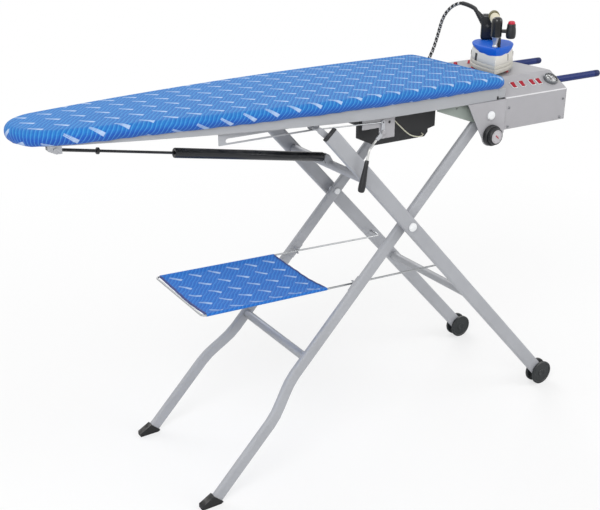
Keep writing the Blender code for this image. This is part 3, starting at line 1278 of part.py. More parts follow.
def make_shelf():
    """Wire frame that hangs on the wheeled legs and carries a cloth between its rods."""
    def rod_place(distance, y):
        x = SHELF_SCREW.x - distance
        return Vector((x, y, shelf_rod_height(x)))
    end_y = A_LEG_Y - LEG_THICKNESS / 2 - GAP
    corners = [Vector((SHELF_SCREW.x, -end_y, SHELF_SCREW.z)), rod_place(0, -SHELF_ROD_Y),
               rod_place(SHELF_LEFT, -SHELF_ROD_Y), rod_place(SHELF_LEFT, SHELF_ROD_Y),
               rod_place(0, SHELF_ROD_Y), Vector((SHELF_SCREW.x, end_y, SHELF_SCREW.z))]
    path = rounded_path(corners, SHELF_ROD_RADIUS * 4)
    tube("shelf_frame", path, SHELF_ROD_RADIUS, "steel", shelf, SHELF_SCREW)

    half_width = SHELF_ROD_Y - SHELF_ROD_RADIUS - GAP
    left = SHELF_LEFT - SHELF_ROD_RADIUS * 4 - GAP
    bm = bmesh.new()
    columns, rows = 14, 12
    sheets = []
    for level in (0.5, -0.5):
        sheet = []
        for i in range(columns + 1):
            distance = SHELF_RIGHT + (left - SHELF_RIGHT) * i / columns
            row = []
            for j in range(rows + 1):
                share = 2 * j / rows - 1
                ripple = math.sin(math.tau * SHELF_RIPPLES * j / rows) * SHELF_RIPPLE
                drop = SHELF_CLOTH_SAG * (1 - share * share) + ripple * (1 - share * share)
                place = rod_place(distance, share * half_width)
                row.append(bm.verts.new(place + Vector((0, 0, level * SHELF_CLOTH_THICKNESS - drop))))
            sheet.append(row)
        sheets.append(sheet)
    for sheet in sheets:
        for i in range(columns):
            for j in range(rows):
                bm.faces.new((sheet[i][j], sheet[i + 1][j], sheet[i + 1][j + 1], sheet[i][j + 1]))
    top, low = sheets
    for i in range(columns):
        for j in (0, rows):
            bm.faces.new((top[i][j], top[i + 1][j], low[i + 1][j], low[i][j]))
    for j in range(rows):
        for i in (0, columns):
            bm.faces.new((top[i][j], top[i][j + 1], low[i][j + 1], low[i][j]))
    piece("shelf_cloth", bm, "blue_fabric", shelf, SHELF_SCREW)


def make_spring():
    """Gas spring between the wheeled legs' upper bar and the nose."""
    def along(distance):
        return SPRING_EYE + SPRING_AXIS * distance
    bm = bmesh.new()
    start = SPRING_EYE_RADIUS * 0.7
    bore_start = SPRING_EYE_RADIUS + SPRING_TUBE_WALL * 3
    bore = SPRING_TUBE_RADIUS - SPRING_TUBE_WALL
    profile = [(0, start), (SPRING_EYE_WIDTH / 2, start), (SPRING_EYE_WIDTH / 2, SPRING_EYE_RADIUS + GAP),
               (SPRING_TUBE_RADIUS, SPRING_EYE_RADIUS + SPRING_TUBE_WALL),
               (SPRING_TUBE_RADIUS, SPRING_TUBE_LENGTH), (bore, SPRING_TUBE_LENGTH), (bore, bore_start),
               (0, bore_start)]
    add_lathe(bm, profile, SPRING_EYE, SPRING_AXIS, ROUND_SIDES)
    barrel = piece("spring_cylinder", bm, "black_plastic", spring_tube, SPRING_EYE)
    half = SPRING_EYE_WIDTH / 2
    for target, spot in ((barrel, SPRING_EYE), (None, SPRING_NOSE)):
        if target is None:
            bm = bmesh.new()
            sleeve = SPRING_NOSE_GAP + SPRING_SLEEVE_LENGTH
            collar = sleeve + SPRING_COLLAR_LENGTH
            profile = [(0, start), (SPRING_SLEEVE_RADIUS, start), (SPRING_SLEEVE_RADIUS, sleeve),
                       (SPRING_COLLAR_RADIUS, sleeve), (SPRING_COLLAR_RADIUS, collar),
                       (SPRING_ROD_RADIUS, collar), (SPRING_ROD_RADIUS, SPRING_ROD_LENGTH),
                       (0, SPRING_ROD_LENGTH)]
            add_lathe(bm, profile, SPRING_NOSE, -SPRING_AXIS, SMALL_SIDES)
            target = piece("spring_rod", bm, "steel", spring_rod, SPRING_NOSE)
        eye = bmesh.new()
        add_prism(eye, disc_outline(spot.x, spot.z, SPRING_EYE_RADIUS, ROUND_SIDES), -half, half, "y")
        combine(target, eye, "UNION")
        combine(target, hole_cutter([(spot, -half - OVERRUN, half + OVERRUN)], SPRING_PIN_RADIUS + GAP),
                "DIFFERENCE")

    ear = half + RUN_GAP
    reach = ear + SPRING_EAR
    left = SPRING_NOSE.x - SPRING_EYE_RADIUS * 2
    right = SPRING_NOSE.x + SPRING_EYE_RADIUS * 1.5
    low = SPRING_NOSE.z - SPRING_EYE_RADIUS
    bm = bmesh.new()
    add_prism(bm, [(left, SPRING_NOSE.z), (SPRING_NOSE.x, low), (right, low),
                   (right, tray_bottom(right) - GAP), (left, tray_bottom(left) - GAP)], -reach, reach, "y")
    bracket = piece("nose_bracket", bm, "steel", table)
    slot = bmesh.new()
    roof = tray_bottom(right) - GAP - SPRING_EAR
    add_prism(slot, [(left - OVERRUN, low - OVERRUN), (right + OVERRUN, low - OVERRUN),
                     (right + OVERRUN, roof), (left - OVERRUN, roof)], -ear, ear, "y")
    combine(bracket, slot, "DIFFERENCE")
    pin = bmesh.new()
    add_headed_pin(pin, SPRING_NOSE, reach, SPRING_PIN_RADIUS, SPRING_PIN_RADIUS * 1.7)
    combine(bracket, pin, "UNION")


def make_lever():
    """Release lever: bracket, crank, bent wire with its grip, and the rod that it pulls."""
    top = TRAY_TOP_Z - TRAY_DEPTH - GAP
    half = LEVER_BRACKET_THICKNESS / 2
    left = LEVER_X - LEVER_BRACKET_LEFT
    step = LEVER_X - LEVER_BRACKET_STEP
    right = LEVER_X + LEVER_BRACKET_RIGHT
    outline = [(left, top), (left, top - LEVER_BRACKET_DROP), (step, top - LEVER_BRACKET_DROP),
               (step, LEVER_Z - LEVER_BRACKET_LOW), (right, LEVER_Z - LEVER_BRACKET_LOW), (right, top)]
    bm = bmesh.new()
    middle = LEVER_Y + LEVER_CRANK_THICKNESS / 2 + RUN_GAP + half
    add_prism(bm, outline, middle - half, middle + half, "y")
    bracket = piece("lever_bracket", bm, "grey_sheet", table)
    pin = bmesh.new()
    pin_low = LEVER_Y - LEVER_CRANK_THICKNESS / 2 - RUN_GAP
    pin_high = middle + half
    spot = Vector((LEVER_X, (pin_low + pin_high) / 2, LEVER_Z))
    add_headed_pin(pin, spot, (pin_high - pin_low) / 2, SPRING_PIN_RADIUS, SPRING_PIN_RADIUS * 1.5)
    combine(bracket, pin, "UNION")

    eye = LEVER_PIVOT + Vector((0, 0, LEVER_CRANK))
    foot = LEVER_PIVOT + Vector((-LEVER_CRANK * 0.6, 0, -LEVER_CRANK * 0.55))
    thick = LEVER_CRANK_THICKNESS / 2
    bm = bmesh.new()
    add_prism(bm, capsule(flat(LEVER_PIVOT), flat(eye), LEVER_CRANK_WIDTH / 2), LEVER_Y - thick,
              LEVER_Y + thick, "y")
    crank = piece("lever_crank", bm, "steel", lever_holder, LEVER_PIVOT)
    lower = bmesh.new()
    add_prism(lower, capsule(flat(LEVER_PIVOT), flat(foot), LEVER_CRANK_WIDTH / 2 * 0.96),
              LEVER_Y - thick * 0.96, LEVER_Y + thick * 0.96, "y")
    combine(crank, lower, "UNION")
    combine(crank, hole_cutter([(LEVER_PIVOT, LEVER_Y - OVERRUN, LEVER_Y + OVERRUN)],
                               SPRING_PIN_RADIUS + GAP), "DIFFERENCE")
    combine(crank, hole_cutter([(eye, LEVER_Y - OVERRUN, LEVER_Y + OVERRUN)],
                               PULL_ROD_RADIUS + RUN_GAP), "DIFFERENCE")

    away = (foot - LEVER_PIVOT).normalized()
    start = foot + away * (LEVER_CRANK_WIDTH / 2 + GAP)
    grip_top = Vector((GRIP_TOP_X, LEVER_GRIP_Y, GRIP_TOP_Z))
    bend = start + away * LEVER_WIRE_RADIUS * 3
    outer = grip_top + Vector((LEVER_WIRE_BACK, 0, LEVER_WIRE_UP))
    path = rounded_path([start, bend, outer, grip_top], LEVER_WIRE_RADIUS * 2)
    tube("lever_wire", path, LEVER_WIRE_RADIUS, "steel", lever_holder, LEVER_PIVOT)
    grip_way = Vector((GRIP_LEAN, 0, -1)).normalized()
    bm = bmesh.new()
    profile = [(0, GAP), (GRIP_NECK_RADIUS, GAP), (GRIP_NECK_RADIUS * 1.3, GRIP_LENGTH * 0.4),
               (GRIP_END_RADIUS, GRIP_LENGTH * 0.8), (GRIP_END_RADIUS, GRIP_LENGTH * 0.95),
               (GRIP_END_RADIUS * 0.6, GRIP_LENGTH), (0, GRIP_LENGTH)]
    add_lathe(bm, profile, grip_top, grip_way, SMALL_SIDES)
    piece("lever_grip", bm, "black_plastic", lever_holder, LEVER_PIVOT)

    rod_y = LEVER_Y
    hook = Vector((PULL_ROD_LEFT_X, rod_y, tray_bottom(PULL_ROD_LEFT_X) - PULL_ROD_EYE))
    near_eye = Vector((eye.x - LEVER_CRANK_WIDTH / 2 - RUN_GAP, rod_y, eye.z))
    tube("pull_rod", [near_eye, (near_eye + hook) / 2, hook], PULL_ROD_RADIUS, "steel", pull_holder,
         near_eye, 1)


def iron_outline(inset, steps=8):
    """Return the iron's plan outline as (along, across) points, tip first."""
    side = []
    for i in range(steps + 1):
        share = i / steps
        side.append((IRON_SHOULDER * share, IRON_HALF_WIDTH * math.sin(share * math.pi / 2) ** 0.9))
    heel = []
    for i in range(1, steps + 1):
        angle = math.pi / 2 * i / steps
        heel.append((IRON_SHOULDER + (IRON_LENGTH - IRON_SHOULDER) * math.sin(angle),
                     IRON_HALF_WIDTH * max(math.cos(angle), 0) ** 0.5))
    half = side + heel
    scale_l = (IRON_LENGTH - 2 * inset) / IRON_LENGTH
    scale_w = (IRON_HALF_WIDTH - inset) / IRON_HALF_WIDTH
    half = [(inset + u * scale_l, v * scale_w) for u, v in half]
    return half[:-1] + [half[-1]] + [(u, -v) for u, v in reversed(half[1:-1])]


def iron_place(along, across, height):
    """Return a place on the iron in table coordinates."""
    return IRON_TIP + IRON_ALONG * along + IRON_LEFT * across + Vector((0, 0, height))


def add_iron_layers(bm, layers):
    """Add one solid from (inset, height at the tip, height at the heel) outlines."""
    rings = []
    for inset, tip_z, heel_z in layers:
        ring = []
        for u, v in iron_outline(inset):
            height = tip_z + (heel_z - tip_z) * u / IRON_LENGTH
            ring.append(bm.verts.new(iron_place(u, v, height)))
        rings.append(ring)
    count = len(rings[0])
    for ring_a, ring_b in zip(rings, rings[1:]):
        for i in range(count):
            j = (i + 1) % count
            bm.faces.new((ring_a[i], ring_a[j], ring_b[j], ring_b[i]))
    bm.faces.new(rings[0])
    bm.faces.new(rings[-1])


def make_iron():
    """Iron on the studs: sole, housing, heat shield, handle, cork grip, relief and button."""
    bm = bmesh.new()
    add_iron_layers(bm, [(0, 0, 0), (0, IRON_SOLE, IRON_SOLE)])
    piece("iron_sole", bm, "aluminium", iron, IRON_TIP)
    low = IRON_SOLE + GAP
    bm = bmesh.new()
    add_iron_layers(bm, [(IRON_STEP, low, low), (IRON_STEP, IRON_BODY_TOP * 0.8, IRON_BODY_TOP * 0.7),
                         (IRON_STEP * 3, IRON_BODY_TOP + IRON_TIP_RISE, IRON_BODY_TOP)])
    piece("iron_body", bm, "aluminium", iron, IRON_TIP)
    low = IRON_BODY_TOP + GAP
    bm = bmesh.new()
    add_iron_layers(bm, [(IRON_STEP * 3, low + IRON_TIP_RISE, low),
                         (IRON_STEP * 2, IRON_SHIELD_TOP + IRON_TIP_RISE, IRON_SHIELD_TOP),
                         (IRON_STEP * 4, IRON_SHIELD_TOP + IRON_TIP_RISE + IRON_SHIELD_ROUND,
                          IRON_SHIELD_TOP + IRON_SHIELD_ROUND)])
    piece("heat_shield", bm, "blue_plastic", iron, IRON_TIP)

    def shield_top(along):
        return IRON_SHIELD_TOP + IRON_SHIELD_ROUND + IRON_TIP_RISE * (1 - along / IRON_LENGTH) + GAP
    clear = GAP + IRON_TIP_RISE * STEM_RADIUS / IRON_LENGTH
    bm = bmesh.new()
    front = iron_place(STEM_FRONT, 0, shield_top(STEM_FRONT) + clear)
    low = STEM_LOW - shield_top(STEM_FRONT)
    height = STEM_TOP - shield_top(STEM_FRONT)
    shoulder = low + (height - low) * 0.8
    profile = [(0, 0), (PILLAR_RADIUS, 0), (PILLAR_RADIUS, low), (STEM_RADIUS, low), (STEM_RADIUS, shoulder),
               (STEM_RADIUS * 0.7, height), (0, height)]
    add_lathe(bm, profile, front, (0, 0, 1), SMALL_SIDES)
    stem = piece("iron_front_handle", bm, "black_plastic", iron, IRON_TIP)
    middle = -(STEM_RADIUS + BUTTON_ARM + BUTTON_HOUSING_RADIUS)
    level = (STEM_LOW + BUTTON_TOP) / 2
    arm = bmesh.new()
    add_rod(arm, iron_place(STEM_FRONT, 0, level), iron_place(STEM_FRONT, middle, level), BUTTON_ARM_RADIUS)
    combine(stem, arm, "UNION")
    housing = bmesh.new()
    add_rod(housing, iron_place(STEM_FRONT, middle, BUTTON_LOW),
            iron_place(STEM_FRONT, middle, BUTTON_TOP), BUTTON_HOUSING_RADIUS)
    combine(stem, housing, "UNION")
    bore = bmesh.new()
    depth = BUTTON_STEM + BUTTON_TRAVEL + GAP
    add_rod(bore, iron_place(STEM_FRONT, middle, BUTTON_TOP - depth),
            iron_place(STEM_FRONT, middle, BUTTON_TOP + OVERRUN), BUTTON_STEM_RADIUS + RUN_GAP)
    combine(stem, bore, "DIFFERENCE")
    bm = bmesh.new()
    low = shield_top(STEM_REAR - STEM_REAR_HALF)
    top = IRON_GRIP_Z + IRON_GRIP_RADIUS * 0.2
    rings = []
    for inset, height in ((0, low), (0, top - STEM_REAR_CORNER), (STEM_REAR_CORNER / 2, top)):
        near, far = STEM_REAR - STEM_REAR_HALF + inset, STEM_REAR + STEM_REAR_HALF - inset
        right, left = STEM_REAR_RIGHT + inset, STEM_REAR_LEFT - inset
        cut = STEM_REAR_CORNER
        outline = [(near, right + cut), (near, left - cut), (near + cut, left), (far - cut, left),
                   (far, left - cut), (far, right + cut), (far - cut, right), (near + cut, right)]
        rings.append([bm.verts.new(iron_place(u, v, height)) for u, v in outline])
    for ring_a, ring_b in zip(rings, rings[1:]):
        for i in range(len(ring_a)):
            j = (i + 1) % len(ring_a)
            bm.faces.new((ring_a[i], ring_a[j], ring_b[j], ring_b[i]))
    bm.faces.new(rings[0])
    bm.faces.new(rings[-1])
    stem = piece("iron_rear_handle", bm, "black_plastic", iron, IRON_TIP)
    relief = bmesh.new()
    profile = [(0, 0), (RELIEF_RADIUS, 0), (RELIEF_RADIUS, RELIEF_LENGTH * 0.5),
               (RELIEF_RADIUS * 0.8, RELIEF_LENGTH), (0, RELIEF_LENGTH)]
    add_lathe(relief, profile, RELIEF_ROOT, RELIEF_WAY, SMALL_SIDES)
    combine(stem, relief, "UNION")

    bm = bmesh.new()
    start = STEM_FRONT + STEM_RADIUS + GAP
    length = STEM_REAR - STEM_REAR_HALF - GAP - start
    radius = IRON_GRIP_RADIUS
    profile = [(0, 0), (radius * 0.85, 0), (radius, length * 0.2), (radius * 1.1, length * 0.5),
               (radius, length * 0.8), (radius * 0.85, length), (0, length)]
    add_lathe(bm, profile, iron_place(start, 0, IRON_GRIP_Z), IRON_ALONG, SMALL_SIDES)
    piece("cork_grip", bm, "cork", iron, IRON_TIP)

    spot = iron_place(STEM_FRONT, middle, BUTTON_TOP + BUTTON_TRAVEL + GAP)
    foot = -(BUTTON_STEM + BUTTON_TRAVEL)
    head = BUTTON_HOUSING_RADIUS * 0.8
    profile = [(0, foot), (BUTTON_STEM_RADIUS, foot), (BUTTON_STEM_RADIUS, 0), (head, 0),
               (head, BUTTON_RISE), (0, BUTTON_RISE)]
    bm = bmesh.new()
    add_lathe(bm, profile, spot, (0, 0, 1), SMALL_SIDES)
    piece("steam_button", bm, "red_silicone", empty("button_holder", iron, spot - IRON_TIP), spot)


def coil_places():
    """Return the hose's places in the coil, whose layers spiral in and out by turns."""
    outer = COIL_RADIUS
    per_layer = COIL_TURNS / COIL_LAYERS
    total = int(COIL_TURNS * COIL_POINTS_PER_TURN)
    straight = 2 * HOSE_RADIUS
    places = []
    for i in range(total + 1):
        turn = COIL_TURNS * i / total
        layer = min(int(turn / per_layer), COIL_LAYERS - 1)
        within = turn - layer * per_layer
        radius = outer - COIL_STEP * (within if layer % 2 == 0 else per_layer - within)
        level = 0.0
        for climb in range(1, COIL_LAYERS):
            share = min(max((turn - climb * per_layer) * 2 + 0.5, 0), 1)
            level += share * share * (3 - 2 * share)
        angle = -math.pi / 2 - math.tau * turn
        places.append(Vector((COIL_X + radius * math.cos(angle), COIL_NEAR_Y + level * COIL_STEP,
                              COIL_Z + radius * math.sin(angle))))
    places.insert(0, places[0] + Vector((straight, 0, 0)))
    places.append(places[-1] + Vector((straight, 0, 0)))
    return places


def least_gap(places, radius):
    """Return the least free space between parts of a wound tube that are not neighbours."""
    skip = COIL_POINTS_PER_TURN // 3
    best = math.inf
    for i, spot in enumerate(places):
        for other, after in zip(places[i + skip:], places[i + skip + 1:]):
            run = after - other
            share = min(max((spot - other).dot(run) / run.length_squared, 0), 1)
            best = min(best, (other + run * share - spot).length)
    return best - 2 * radius


def make_hose():
    """Steam hose from the iron down to a coil that hangs on a peg, and on to the generator."""
    coil = coil_places()
    print("least gap in the hose coil: %.4f" % least_gap(coil, HOSE_RADIUS))
    tube("hose_coil", coil, HOSE_RADIUS, "braid", table, resolution=1)
    spacing = HOSE_RADIUS * 5
    straight = 2 * HOSE_RADIUS
    first = RELIEF_ROOT + RELIEF_WAY * (RELIEF_LENGTH + GAP)
    last = coil[0] + Vector((GAP, 0, 0))
    route = [first + RELIEF_WAY * straight] + [Vector(spot) for spot in HOSE_ROUTE]
    route.append(last + Vector((straight, 0, 0)))
    places = [first] + smooth_route(route, spacing) + [last]
    tube("steam_hose", places, HOSE_RADIUS, "braid", table)
    gland_end = Vector((GLAND_X, GEN_HALF_WIDTH + GAP + GLAND_LENGTH, GLAND_Z))
    first = coil[-1] + Vector((GAP, 0, 0))
    last = gland_end + Vector((0, GAP, 0))
    route = [first + Vector((straight, 0, 0))] + [Vector(spot) for spot in HOSE_LEAD_ROUTE]
    route.append(last + Vector((0, straight, 0)))
    places = [first] + smooth_route(route, spacing) + [last]
    tube("hose_lead", places, HOSE_RADIUS, "braid", table)

    bm = bmesh.new()
    profile = [(0, 0), (GLAND_RADIUS, 0), (GLAND_RADIUS, GLAND_LENGTH * 0.5),
               (GLAND_RADIUS * 0.8, GLAND_LENGTH), (0, GLAND_LENGTH)]
    add_lathe(bm, profile, gland_end - Vector((0, GLAND_LENGTH, 0)), (0, 1, 0), SMALL_SIDES)
    piece("hose_gland", bm, "black_plastic", table)

    wire = [Vector(spot) for spot in FAN_LEAD_ROUTE]
    tube("fan_lead", smooth_route(wire, FAN_LEAD_RADIUS * 6), FAN_LEAD_RADIUS, "white_plastic", table,
         resolution=1)


make_board()
make_guides()
make_fan()
make_brackets()
make_generator()
make_controls()
make_lever()
make_b_frame()
make_a_frame()
make_pivots()
make_shelf()
make_spring()
make_iron()
make_hose()
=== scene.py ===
"""Looks of a vacuum ironing table: cover, shelf cloth, hose, iron, controls, fittings and finishes."""
import math

import bpy
from mathutils import Matrix, Vector


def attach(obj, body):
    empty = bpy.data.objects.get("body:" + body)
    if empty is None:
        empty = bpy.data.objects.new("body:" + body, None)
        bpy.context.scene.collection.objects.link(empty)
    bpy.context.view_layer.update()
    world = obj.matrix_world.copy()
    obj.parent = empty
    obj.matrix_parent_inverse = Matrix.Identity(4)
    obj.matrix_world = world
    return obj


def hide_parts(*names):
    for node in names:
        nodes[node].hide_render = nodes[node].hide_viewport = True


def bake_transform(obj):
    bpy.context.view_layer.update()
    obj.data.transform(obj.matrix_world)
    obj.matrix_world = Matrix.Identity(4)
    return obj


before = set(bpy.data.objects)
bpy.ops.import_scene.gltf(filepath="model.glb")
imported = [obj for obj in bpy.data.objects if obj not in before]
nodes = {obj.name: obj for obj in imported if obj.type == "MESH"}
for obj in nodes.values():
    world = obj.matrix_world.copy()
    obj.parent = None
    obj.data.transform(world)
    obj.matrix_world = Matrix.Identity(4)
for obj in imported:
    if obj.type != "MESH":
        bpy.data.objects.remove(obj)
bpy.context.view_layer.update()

# The table's own coordinates have x = 0 where the legs cross, and y = 0 on the board's middle line
TABLE = Vector((0.1025, -0.0115, 0.0))


def spot(x, y, z):
    """Return a place of the table's own coordinates in the frame's coordinates."""
    return TABLE + Vector((x, y, z))


def tone(code):
    """Return the linear colour of a colour as it is seen on a screen."""
    parts = [int(code[i:i + 2], 16) / 255 for i in (0, 2, 4)]
    return tuple(p / 12.92 if p <= 0.04045 else ((p + 0.055) / 1.055) ** 2.4 for p in parts) + (1.0,)


CAMERA_SENSOR = 36.0
CAMERA_PLACE = (-1.2660, -1.8577, 1.4076)
CAMERA_YAW = 32.11
CAMERA_PITCH = 22.52
CAMERA_ROLL = -0.13
CAMERA_LENS = 55.61


def set_camera():
    """Stand the camera where the photograph was taken from."""
    lens = bpy.data.cameras.new("camera")
    lens.sensor_width = CAMERA_SENSOR
    lens.sensor_fit = "HORIZONTAL"
    lens.lens = CAMERA_LENS
    camera = bpy.data.objects.new("camera", lens)
    bpy.context.collection.objects.link(camera)
    turn = (Matrix.Rotation(math.radians(-CAMERA_YAW), 4, "Z")
            @ Matrix.Rotation(math.radians(90 - CAMERA_PITCH), 4, "X")
            @ Matrix.Rotation(math.radians(CAMERA_ROLL), 4, "Z"))
    camera.matrix_world = Matrix.Translation(CAMERA_PLACE) @ turn
    bpy.context.scene.camera = camera


set_camera()


class Shader:
    """A node tree that is filled with short calls."""

    def __init__(self, tree):
        self.tree = tree

    def add(self, kind, inputs=None, **settings):
        node = self.tree.nodes.new(kind)
        for name, value in settings.items():
            setattr(node, name, value)
        for name, value in (inputs or {}).items():
            self.feed(node.inputs[name], value)
        return node

    def feed(self, socket, value):
        if isinstance(value, bpy.types.NodeSocket):
            self.tree.links.new(value, socket)
        else:
            socket.default_value = value

    def sum(self, operation, *values, clamp=False):
        """Return the result of a Math node."""
        node = self.add("ShaderNodeMath", operation=operation, use_clamp=clamp)
        for socket, value in zip(node.inputs, values):
            self.feed(socket, value)
        return node.outputs[0]

    def between(self, value, low, high, to_low=0.0, to_high=1.0):
        """Return value mapped from low..high to to_low..to_high, held at the ends."""
        node = self.add("ShaderNodeMapRange", {"Value": value, "From Min": low, "From Max": high,
                                               "To Min": to_low, "To Max": to_high})
        return node.outputs[0]

    def blend(self, share, first, second, mode="MIX"):
        """Return a mix of two colours."""
        node = self.add("ShaderNodeMix", data_type="RGBA", blend_type=mode)
        for place, value in zip((0, 6, 7), (share, first, second)):
            self.feed(node.inputs[place], value)
        return node.outputs[2]

    def noise(self, where, scale, detail=2.0, stretch=None):
        """Return noise at where, which is stretched first if that is asked for."""
        if stretch:
            where = self.add("ShaderNodeMapping", {"Vector": where, "Scale": stretch}).outputs[0]
        node = self.add("ShaderNodeTexNoise", {"Vector": where, "Scale": scale, "Detail": detail})
        return node.outputs["Fac"]


def shader_group(name, inputs, outputs):
    """Return a new node group, its shader, its input sockets and its output node."""
    group = bpy.data.node_groups.new(name, "ShaderNodeTree")
    for label, kind, value in inputs:
        socket = group.interface.new_socket(label, in_out="INPUT", socket_type=kind)
        if value is not None:
            socket.default_value = value
    for label, kind in outputs:
        group.interface.new_socket(label, in_out="OUTPUT", socket_type=kind)
    shader = Shader(group)
    source = shader.add("NodeGroupInput")
    result = shader.add("NodeGroupOutput")
    return group, shader, source.outputs, result


NUMBER, VECTOR = "NodeSocketFloat", "NodeSocketVector"


def make_edge_group():
    """Softened edges, with a patchy mask along them: edge wear, and on the panel a painted highlight along
    its folds.
    """
    group, s, given, result = shader_group(
        "soft_edges", [("Radius", NUMBER, 0.001), ("Vector", VECTOR, None)],
        [("Normal", VECTOR), ("Wear_And_Highlight", NUMBER)])
    soft = s.add("ShaderNodeBevel", {"Radius": given["Radius"]}, samples=4).outputs[0]
    flat = s.add("ShaderNodeNewGeometry").outputs["Normal"]
    turn = s.add("ShaderNodeVectorMath", operation="DOT_PRODUCT")
    s.feed(turn.inputs[0], soft)
    s.feed(turn.inputs[1], flat)
    bent = s.between(turn.outputs["Value"], 0.995, 0.90)
    patchy = s.between(s.noise(given["Vector"], 140.0, 3.0), 0.42, 0.62)
    s.feed(result.inputs["Normal"], soft)
    s.feed(result.inputs["Wear_And_Highlight"], s.sum("MULTIPLY", bent, patchy))
    return group


def make_grain_group():
    """Fine grain of a paint or moulding, and slow cloudy changes over the whole piece."""
    group, s, given, result = shader_group(
        "grain", [("Vector", VECTOR, None), ("Scale", NUMBER, 600.0), ("Cloud", NUMBER, 9.0)],
        [("Height", NUMBER), ("Cloud", NUMBER), ("Speck", NUMBER)])
    fine = s.noise(given["Vector"], given["Scale"], 2.0)
    slow = s.noise(given["Vector"], given["Cloud"], 3.0)
    speck = s.noise(given["Vector"], s.sum("MULTIPLY", given["Scale"], 2.4), 0.0)
    s.feed(result.inputs["Height"], fine)
    s.feed(result.inputs["Cloud"], s.between(slow, 0.3, 0.7))
    s.feed(result.inputs["Speck"], s.between(speck, 0.62, 0.75))
    return group


def make_brush_group():
    """Fine lines of a brushed or drawn metal along one direction."""
    group, s, given, result = shader_group(
        "brushed_lines", [("Vector", VECTOR, None), ("Stretch", VECTOR, (1.0, 12.0, 12.0))],
        [("Height", NUMBER), ("Shade", NUMBER)])
    where = s.add("ShaderNodeVectorMath", {0: given["Vector"], 1: given["Stretch"]},
                  operation="MULTIPLY").outputs[0]
    lines = s.noise(where, 180.0, 3.0)
    s.feed(result.inputs["Height"], lines)
    s.feed(result.inputs["Shade"], s.between(lines, 0.3, 0.7))
    return group


def make_dust_group():
    """Thin dust that lies on faces that look up."""
    group, s, given, result = shader_group(
        "dust", [("Vector", VECTOR, None), ("Amount", NUMBER, 0.2)], [("Mask", NUMBER)])
    flat = s.add("ShaderNodeNewGeometry").outputs["Normal"]
    up = s.add("ShaderNodeSeparateXYZ", {"Vector": flat}).outputs["Z"]
    cloud = s.between(s.noise(given["Vector"], 34.0, 4.0), 0.4, 0.75)
    lying = s.sum("MULTIPLY", s.between(up, 0.3, 1.0), cloud)
    s.feed(result.inputs["Mask"], s.sum("MULTIPLY", lying, given["Amount"]))
    return group


def make_weave_group():
    """Plain weave of a cloth whose thread count is given for each metre."""
    group, s, given, result = shader_group(
        "weave", [("Vector", VECTOR, None), ("Threads", NUMBER, 1500.0)],
        [("Height", NUMBER), ("Shade", NUMBER)])
    parts = s.add("ShaderNodeSeparateXYZ", {"Vector": given["Vector"]}).outputs
    along = s.sum("MULTIPLY", parts["X"], given["Threads"])
    across = s.sum("MULTIPLY", parts["Y"], given["Threads"])
    warp = s.sum("SINE", s.sum("MULTIPLY", along, math.tau))
    weft = s.sum("SINE", s.sum("MULTIPLY", across, math.tau))
    turn = s.sum("PINGPONG", s.sum("ADD", s.sum("FLOOR", s.sum("MULTIPLY", along, 2.0)),
                                   s.sum("FLOOR", s.sum("MULTIPLY", across, 2.0))), 1.0)
    height = s.blend(turn, warp, weft)
    slub = s.noise(given["Vector"], 90.0, 3.0, (1.0, 6.0, 1.0))
    s.feed(result.inputs["Height"], height)
    s.feed(result.inputs["Shade"], s.between(slub, 0.3, 0.7))
    return group


PRINT_TURN = math.radians(45)
DASH_PERIOD = 0.076
DASH_LENGTH = 0.033
DASH_ROW = 0.037
DASH_HALF = 0.0048
DASH_RIB = 0.0030
DASH_END_BLUR = 0.0006
DASH_SIDE_BLUR = 0.0005
HATCH_PERIOD = 0.0088
HATCH_BAND = 0.0185
HATCH_LEAN = 0.10
HATCH_TURN = 0.10
HATCH_WOBBLE = 0.0016


